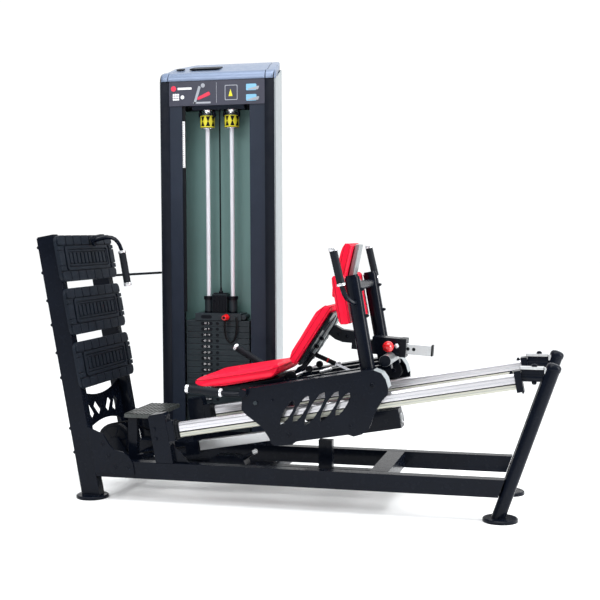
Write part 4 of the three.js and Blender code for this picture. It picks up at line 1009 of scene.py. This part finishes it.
def hood():
    """Top cover: rounded front band, end caps behind seams, and a shallow tray sunk in its top."""
    y0, y1 = 470, 800
    half_front, half_back = 285, 227

    def half_at(y):
        taper = (half_back - half_front) * max(0, (y - 560) / (y1 - 560))
        return half_front + taper - 8 * min(1, (y - y0) / 90)

    def rise(y):
        return EAVE + (y - FRONT) * HOOD_RISE

    section = [(y0, rise(y0) + 1), (y0, rise(y0) + 14), (y0 + 3, rise(y0) + 24), (y0 + 10, rise(y0) + 34),
               (y0 + 21, rise(y0) + 42), (y0 + 36, rise(y0) + 47), (y0 + 52, rise(y0) + 48),
               (620, rise(620) + 44), (720, rise(720) + 41), (y1 - 10, rise(y1) + 37),
               (y1 - 2, rise(y1) + 32), (y1, rise(y1) + 2)]
    # Across the hood: place from -1 to 1, how far its front is drawn back, how far its top is lowered
    spans = (
        ((-1, 20, 7), (-0.985, 8, 3), (-0.96, 2, 0.5), (-0.93, 0, 0), (-0.852, 0, 0)),
        ((-0.842, 0, 0), (0.83, 0, 0)),
        ((0.84, 0, 0), (0.93, 0, 0), (0.96, 2, 0.5), (0.985, 8, 3), (1, 20, 7)),
    )
    shape = Shape()
    for span in spans:
        rings = []
        for t, draw, drop in span:
            ring = []
            for y, z in section:
                lift = (z - rise(y)) / 48
                back = draw * max(0, 1 - (y - y0) / 100)
                ring.append((TOWER_X + t * half_at(y), y + back, z - drop * lift))
            rings.append(ring)
        shape.loft(rings)
    cover = shape.piece("hood_cover", HOOD, "frame", "shroud_grey", bevel=1.6)
    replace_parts(cover, "tower_hood")
    core = Shape()
    core.loft([
        [(TOWER_X + t * (half_at(y) - 5), y + (3 if y < 600 else -3), z - 2.5) for y, z in section]
        for t in (-1, 1)
    ])
    core.piece("hood_core", COLUMN, "frame", "black_plastic")
    tray = Shape()
    tilt = Matrix.Translation((0, FRONT, EAVE + 47)) @ Matrix.Rotation(math.atan(HOOD_RISE) * 0.93, 4, "X")
    outer = rectangle(165, 80, 315, 150, 10)
    inner = rectangle(171, 86, 309, 144, 7)
    tray.ring(outer, inner, -3, 2.5, tilt)
    tray.prism(inner, -4, 0.6, tilt)
    tray.prism(rectangle(98, 84, 134, 116, 4), -3, 2.5, tilt)
    tray.piece("hood_tray", COLUMN, "frame", "black_plastic", bevel=1)


def tower_inside():
    dress(["tower_front_frame"], INNER, 0.8)
    dress(["tower_back_panel"], SAGE, 0.8)
    dress(["tower_base"], PAINT, 1.5)
    dress(["guide_rod_left", "guide_rod_right"], ROD, 0.6)
    edge = Shape()
    edge.prism(rectangle(154, 740, 170, 1712, 1), 481, 485, FACING_FRONT)
    edge.piece("scale_board", RUBBER, "frame", "black_plastic")
    strip = Shape()
    strip.prism(rectangle(156, 1424, 168, 1642, 1), 479.6, 481.5, FACING_FRONT)
    strip.piece("scale_strip", WHITE, "frame", "black_plastic")
    ticks = Shape()
    for i in range(21):
        long = 8 if i % 5 == 0 else 5
        ticks.prism(rectangle(157, 1430 + 10 * i, 157 + long, 1431.8 + 10 * i), 479.2, 480, FACING_FRONT)
    ticks.piece("scale_ticks", PAINT, "frame", "frame_paint")
    bumpers()


def bumpers():
    """Striped stop bumpers under the beam, each in a bright cup."""
    yellow, marks, bright, dark = Shape(), Shape(), Shape(), Shape()
    band = [(26, 0), (33.6, 0), (34.6, 3), (34.6, 52), (33.6, 56), (26, 56)]
    cup = [(12, 1668), (24, 1668), (25, 1671), (25, 1676), (19, 1680), (19, 1694), (24, 1696), (24, 1699)]
    seat = [(13, 1608), (30, 1608), (31, 1610), (31, 1615)]
    stud = [(0, 0), (7, 0), (9, 6), (9, 20), (5, 26), (5, 34)]
    for side in (-1, 1):
        x = STACK_X + GUIDE_REACH * side
        yellow.lathe(band, (x, STACK_Y, 1614), (0, 0, 1), 36)
        for i in range(8):
            middle = 2 * math.pi * (i + 0.5) / 8
            for low, high, wide_low, wide_high in ((1620, 1642, 0.30, 0.06), (1644, 1666, 0.06, 0.30)):
                patch = []
                for z, wide in ((low, wide_low), (high, wide_high)):
                    for sign in (-1, 0, 1):
                        a = middle + sign * wide
                        patch.append((x + 35.1 * math.cos(a), STACK_Y + 35.1 * math.sin(a), z))
                marks.add(patch, [(0, 1, 4, 3), (1, 2, 5, 4)])
        for profile in (cup, seat):
            bright.lathe(profile, (x, STACK_Y, 0), (0, 0, 1), 28)
        for dx in (-34, 34):
            dark.lathe(stud, (x + dx, 540, 1664), (0, 0, 1), 16)
    yellow.piece("bumper_bands", YELLOW, "frame", "black_plastic")
    marks.piece("bumper_marks", RUBBER, "frame", "black_plastic")
    bright.piece("bumper_cups", CHROME, "frame", "chrome")
    dark.piece("beam_studs", PAINT, "frame", "frame_paint")


PLATES = 19
PITCH = 28
STACK_LOW = 167


def weight_stack():
    """Nineteen cast plates, each with a number on a dark oval and a hole for the selector pin, drawn as a rim
    round a near-black disc of painted shade.
    """
    plates, ovals, holes, rims = Shape(), Shape(), Shape(), Shape()
    for i in range(PLATES):
        z0 = STACK_LOW + i * PITCH
        outline = rectangle(162.5, z0 + 0.6, 477.5, z0 + PITCH - 0.9, 1.6, 2)
        plates.prism(outline, 490, 588, FACING_FRONT)
        mid = z0 + PITCH / 2 - (1 if i == PLATES - 1 else 0)
        ovals.prism(rectangle(236, mid - 8, 294, mid + 8, 7.9, 6), 489.2, 490.4, FACING_FRONT)
        rims.ring(circle(318, mid, 7.4, 20), circle(318, mid, 5.6, 20), 489.4, 491, FACING_FRONT)
        # The hole itself is a near-black disc: painted shade.
        holes.prism(circle(318, mid, 5.6, 20), 489.7, 490.6, FACING_FRONT)
    stack = plates.piece("stack_plates", IRON, "frame", "stack_iron", bevel=1.2)
    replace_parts(stack, "weight_stack")
    ovals.piece("stack_labels", PLASTIC, "frame", "black_plastic")
    rims.piece("stack_hole_rims", PAINT, "frame", "frame_paint")
    holes.piece("stack_hole_shade", RUBBER, "frame", "black_plastic")
    places = [(PLATES - i, STACK_LOW + i * PITCH + PITCH / 2) for i in range(PLATES)]
    numbers("stack_numbers", places, 489.1, "frame")


def numbers(name, marks, y, body):
    """Weights in tens, as raised print: one mesh for all."""
    merged = bmesh.new()
    turn = Matrix.Rotation(math.pi / 2, 4, "X")
    for count, z in marks:
        text = bpy.data.curves.new("number", "FONT")
        text.body = f"{10 * count}  {round(4.536 * count)}"
        text.size = 13
        text.align_x = "CENTER"
        text.align_y = "CENTER"
        text.extrude = 0.25
        text.resolution_u = 2
        obj = bpy.data.objects.new("number", text)
        SCENE.collection.objects.link(obj)
        bpy.context.view_layer.update()
        mesh = evaluated_mesh(obj)
        mesh.transform(LEVEL @ Matrix.Translation((265, y, z)) @ turn)
        merged.from_mesh(mesh)
        bpy.data.objects.remove(obj)
        bpy.data.curves.remove(text)
        bpy.data.meshes.remove(mesh)
    data = bpy.data.meshes.new(name)
    merged.to_mesh(data)
    merged.free()
    data.materials.append(WHITE)
    obj = bpy.data.objects.new(name, data)
    SCENE.collection.objects.link(obj)
    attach(obj, body)


def lifting_head():
    dress(["head_plate"], IRON, 1)
    trim = Shape()
    for side in (-1, 1):
        x = STACK_X + GUIDE_REACH * side
        cup = [(12, 0), (24, 0), (25, 2), (25, 15), (23, 17), (20.4, 17)]
        trim.lathe(cup, (x, STACK_Y, 796), (0, 0, 1), 28)
        trim.lathe([(20, 0), (22, 0), (22, 8), (20.2, 10)], (x, STACK_Y, 732), (0, 0, 1), 28)
    trim.prism(rectangle(286, 511, 354, 516, 3), 736, 818, FACING_UP)
    for i in range(5):
        x = 292 + 14 * i
        trim.prism(rectangle(x - 3, 508.5, x + 3, 512, 1), 742, 812, FACING_UP)
    trim.prism(rectangle(288, 519, 352, 567, 5), 822, 828, FACING_UP)
    trim.lathe([(10, 0), (10, 10), (6, 16), (4.2, 30)], (STACK_X, STACK_Y, 824), (0, 0, 1), 20)
    trim.piece("head_trim", PLASTIC, "lift_head", "black_plastic", bevel=0.8)
    label = Shape()
    label.prism(rectangle(238, 708, 292, 724, 7.9, 6), 485.2, 486.4, FACING_FRONT)
    label.piece("head_label", PLASTIC, "lift_head", "black_plastic")
    dress(["selector_pin"], KNOB, 0.8)
    dimple = Shape()
    dimple.lathe([(7, 0), (7, 0.8), (0, 0.8)], (366, 443.4, 715.5), (0, -1, 0), 20)
    dimple.piece("pin_dimple", RUBBER, "selector", "black_plastic")


# ---------- CAD nodes that keep their shape ----------
def dressed_nodes():
    dress(both("base_rail") + ["base_crossbar", "brace_rod"], PAINT, 2.2)
    dress(both("upright") + both("rear_post") + both("shoulder_post"), PAINT, 2)
    dress(both("rear_bracket") + both("rail_bracket") + ["lower_cross_panel", "pulley_carrier"], PAINT, 1.5)
    dress(both("carriage_side") + ["carriage_frame", "back_frame"], PAINT, 1.2)
    dress(["drive_tube"], SILVER, 1.2)
    dress(["assist_handle"] + both("side_handle") + ["step_plate"], PAINT, 1)
    dress(["gas_cylinder"], PLASTIC, 1)
    dress(["gas_rod"], ROD, 0.4)
    dress(["front_pulley", "top_pulley"] + both("roller_front") + both("roller_rear"), PLASTIC, 0.8)
    dress(["pop_pin"], KNOB, 0.4)
    pulley_face()
    peg_cap()


def pulley_face():
    """Raised rings and six spokes on both faces of the front pulley."""
    hub = Vector((PULLEY.x, PULLEY.z))
    face = Shape(SLOPED)
    for side in (-1, 1):
        for outer, inner, height in ((66, 59, 13.2), (20, 11, 13.6)):
            edges = [circle(hub.x, hub.y, r, 40) for r in (outer, inner)]
            face.ring(*edges, side * 11.5, side * height, FACING_FRONT)
        for i in range(6):
            a = math.pi / 3 * i
            way = Vector((math.cos(a), math.sin(a)))
            flank = Vector((-way.y, way.x)) * 4
            near, far = hub + way * 18, hub + way * 61
            spoke = [tuple(c) for c in (near - flank, far - flank, far + flank, near + flank)]
            face.prism(spoke, side * 11.5, side * 13, FACING_FRONT)
    face.piece("pulley_spokes", PAINT, "front_wheel", "black_plastic", bevel=0.5)


def peg_cap():
    along = Vector((65, 0, 42)).normalized()
    peg = Shape()
    peg.lathe([(9.3, -12), (10, -12), (10, 3), (8, 6), (0, 7)], (650, 0, 180), along, 24)
    peg.piece("peg_cap", CAST_CAP, "frame", "chrome")


camera()
studio()
stage_floor()
lanyard()
lift_cable()
drive_cable()
dressed_nodes()
upholstery()
foot_tower()
grips()
rails()
frame_hardware()
carriage_hardware()
tower_shell()
hood()
tower_inside()
weight_stack()
lifting_head()
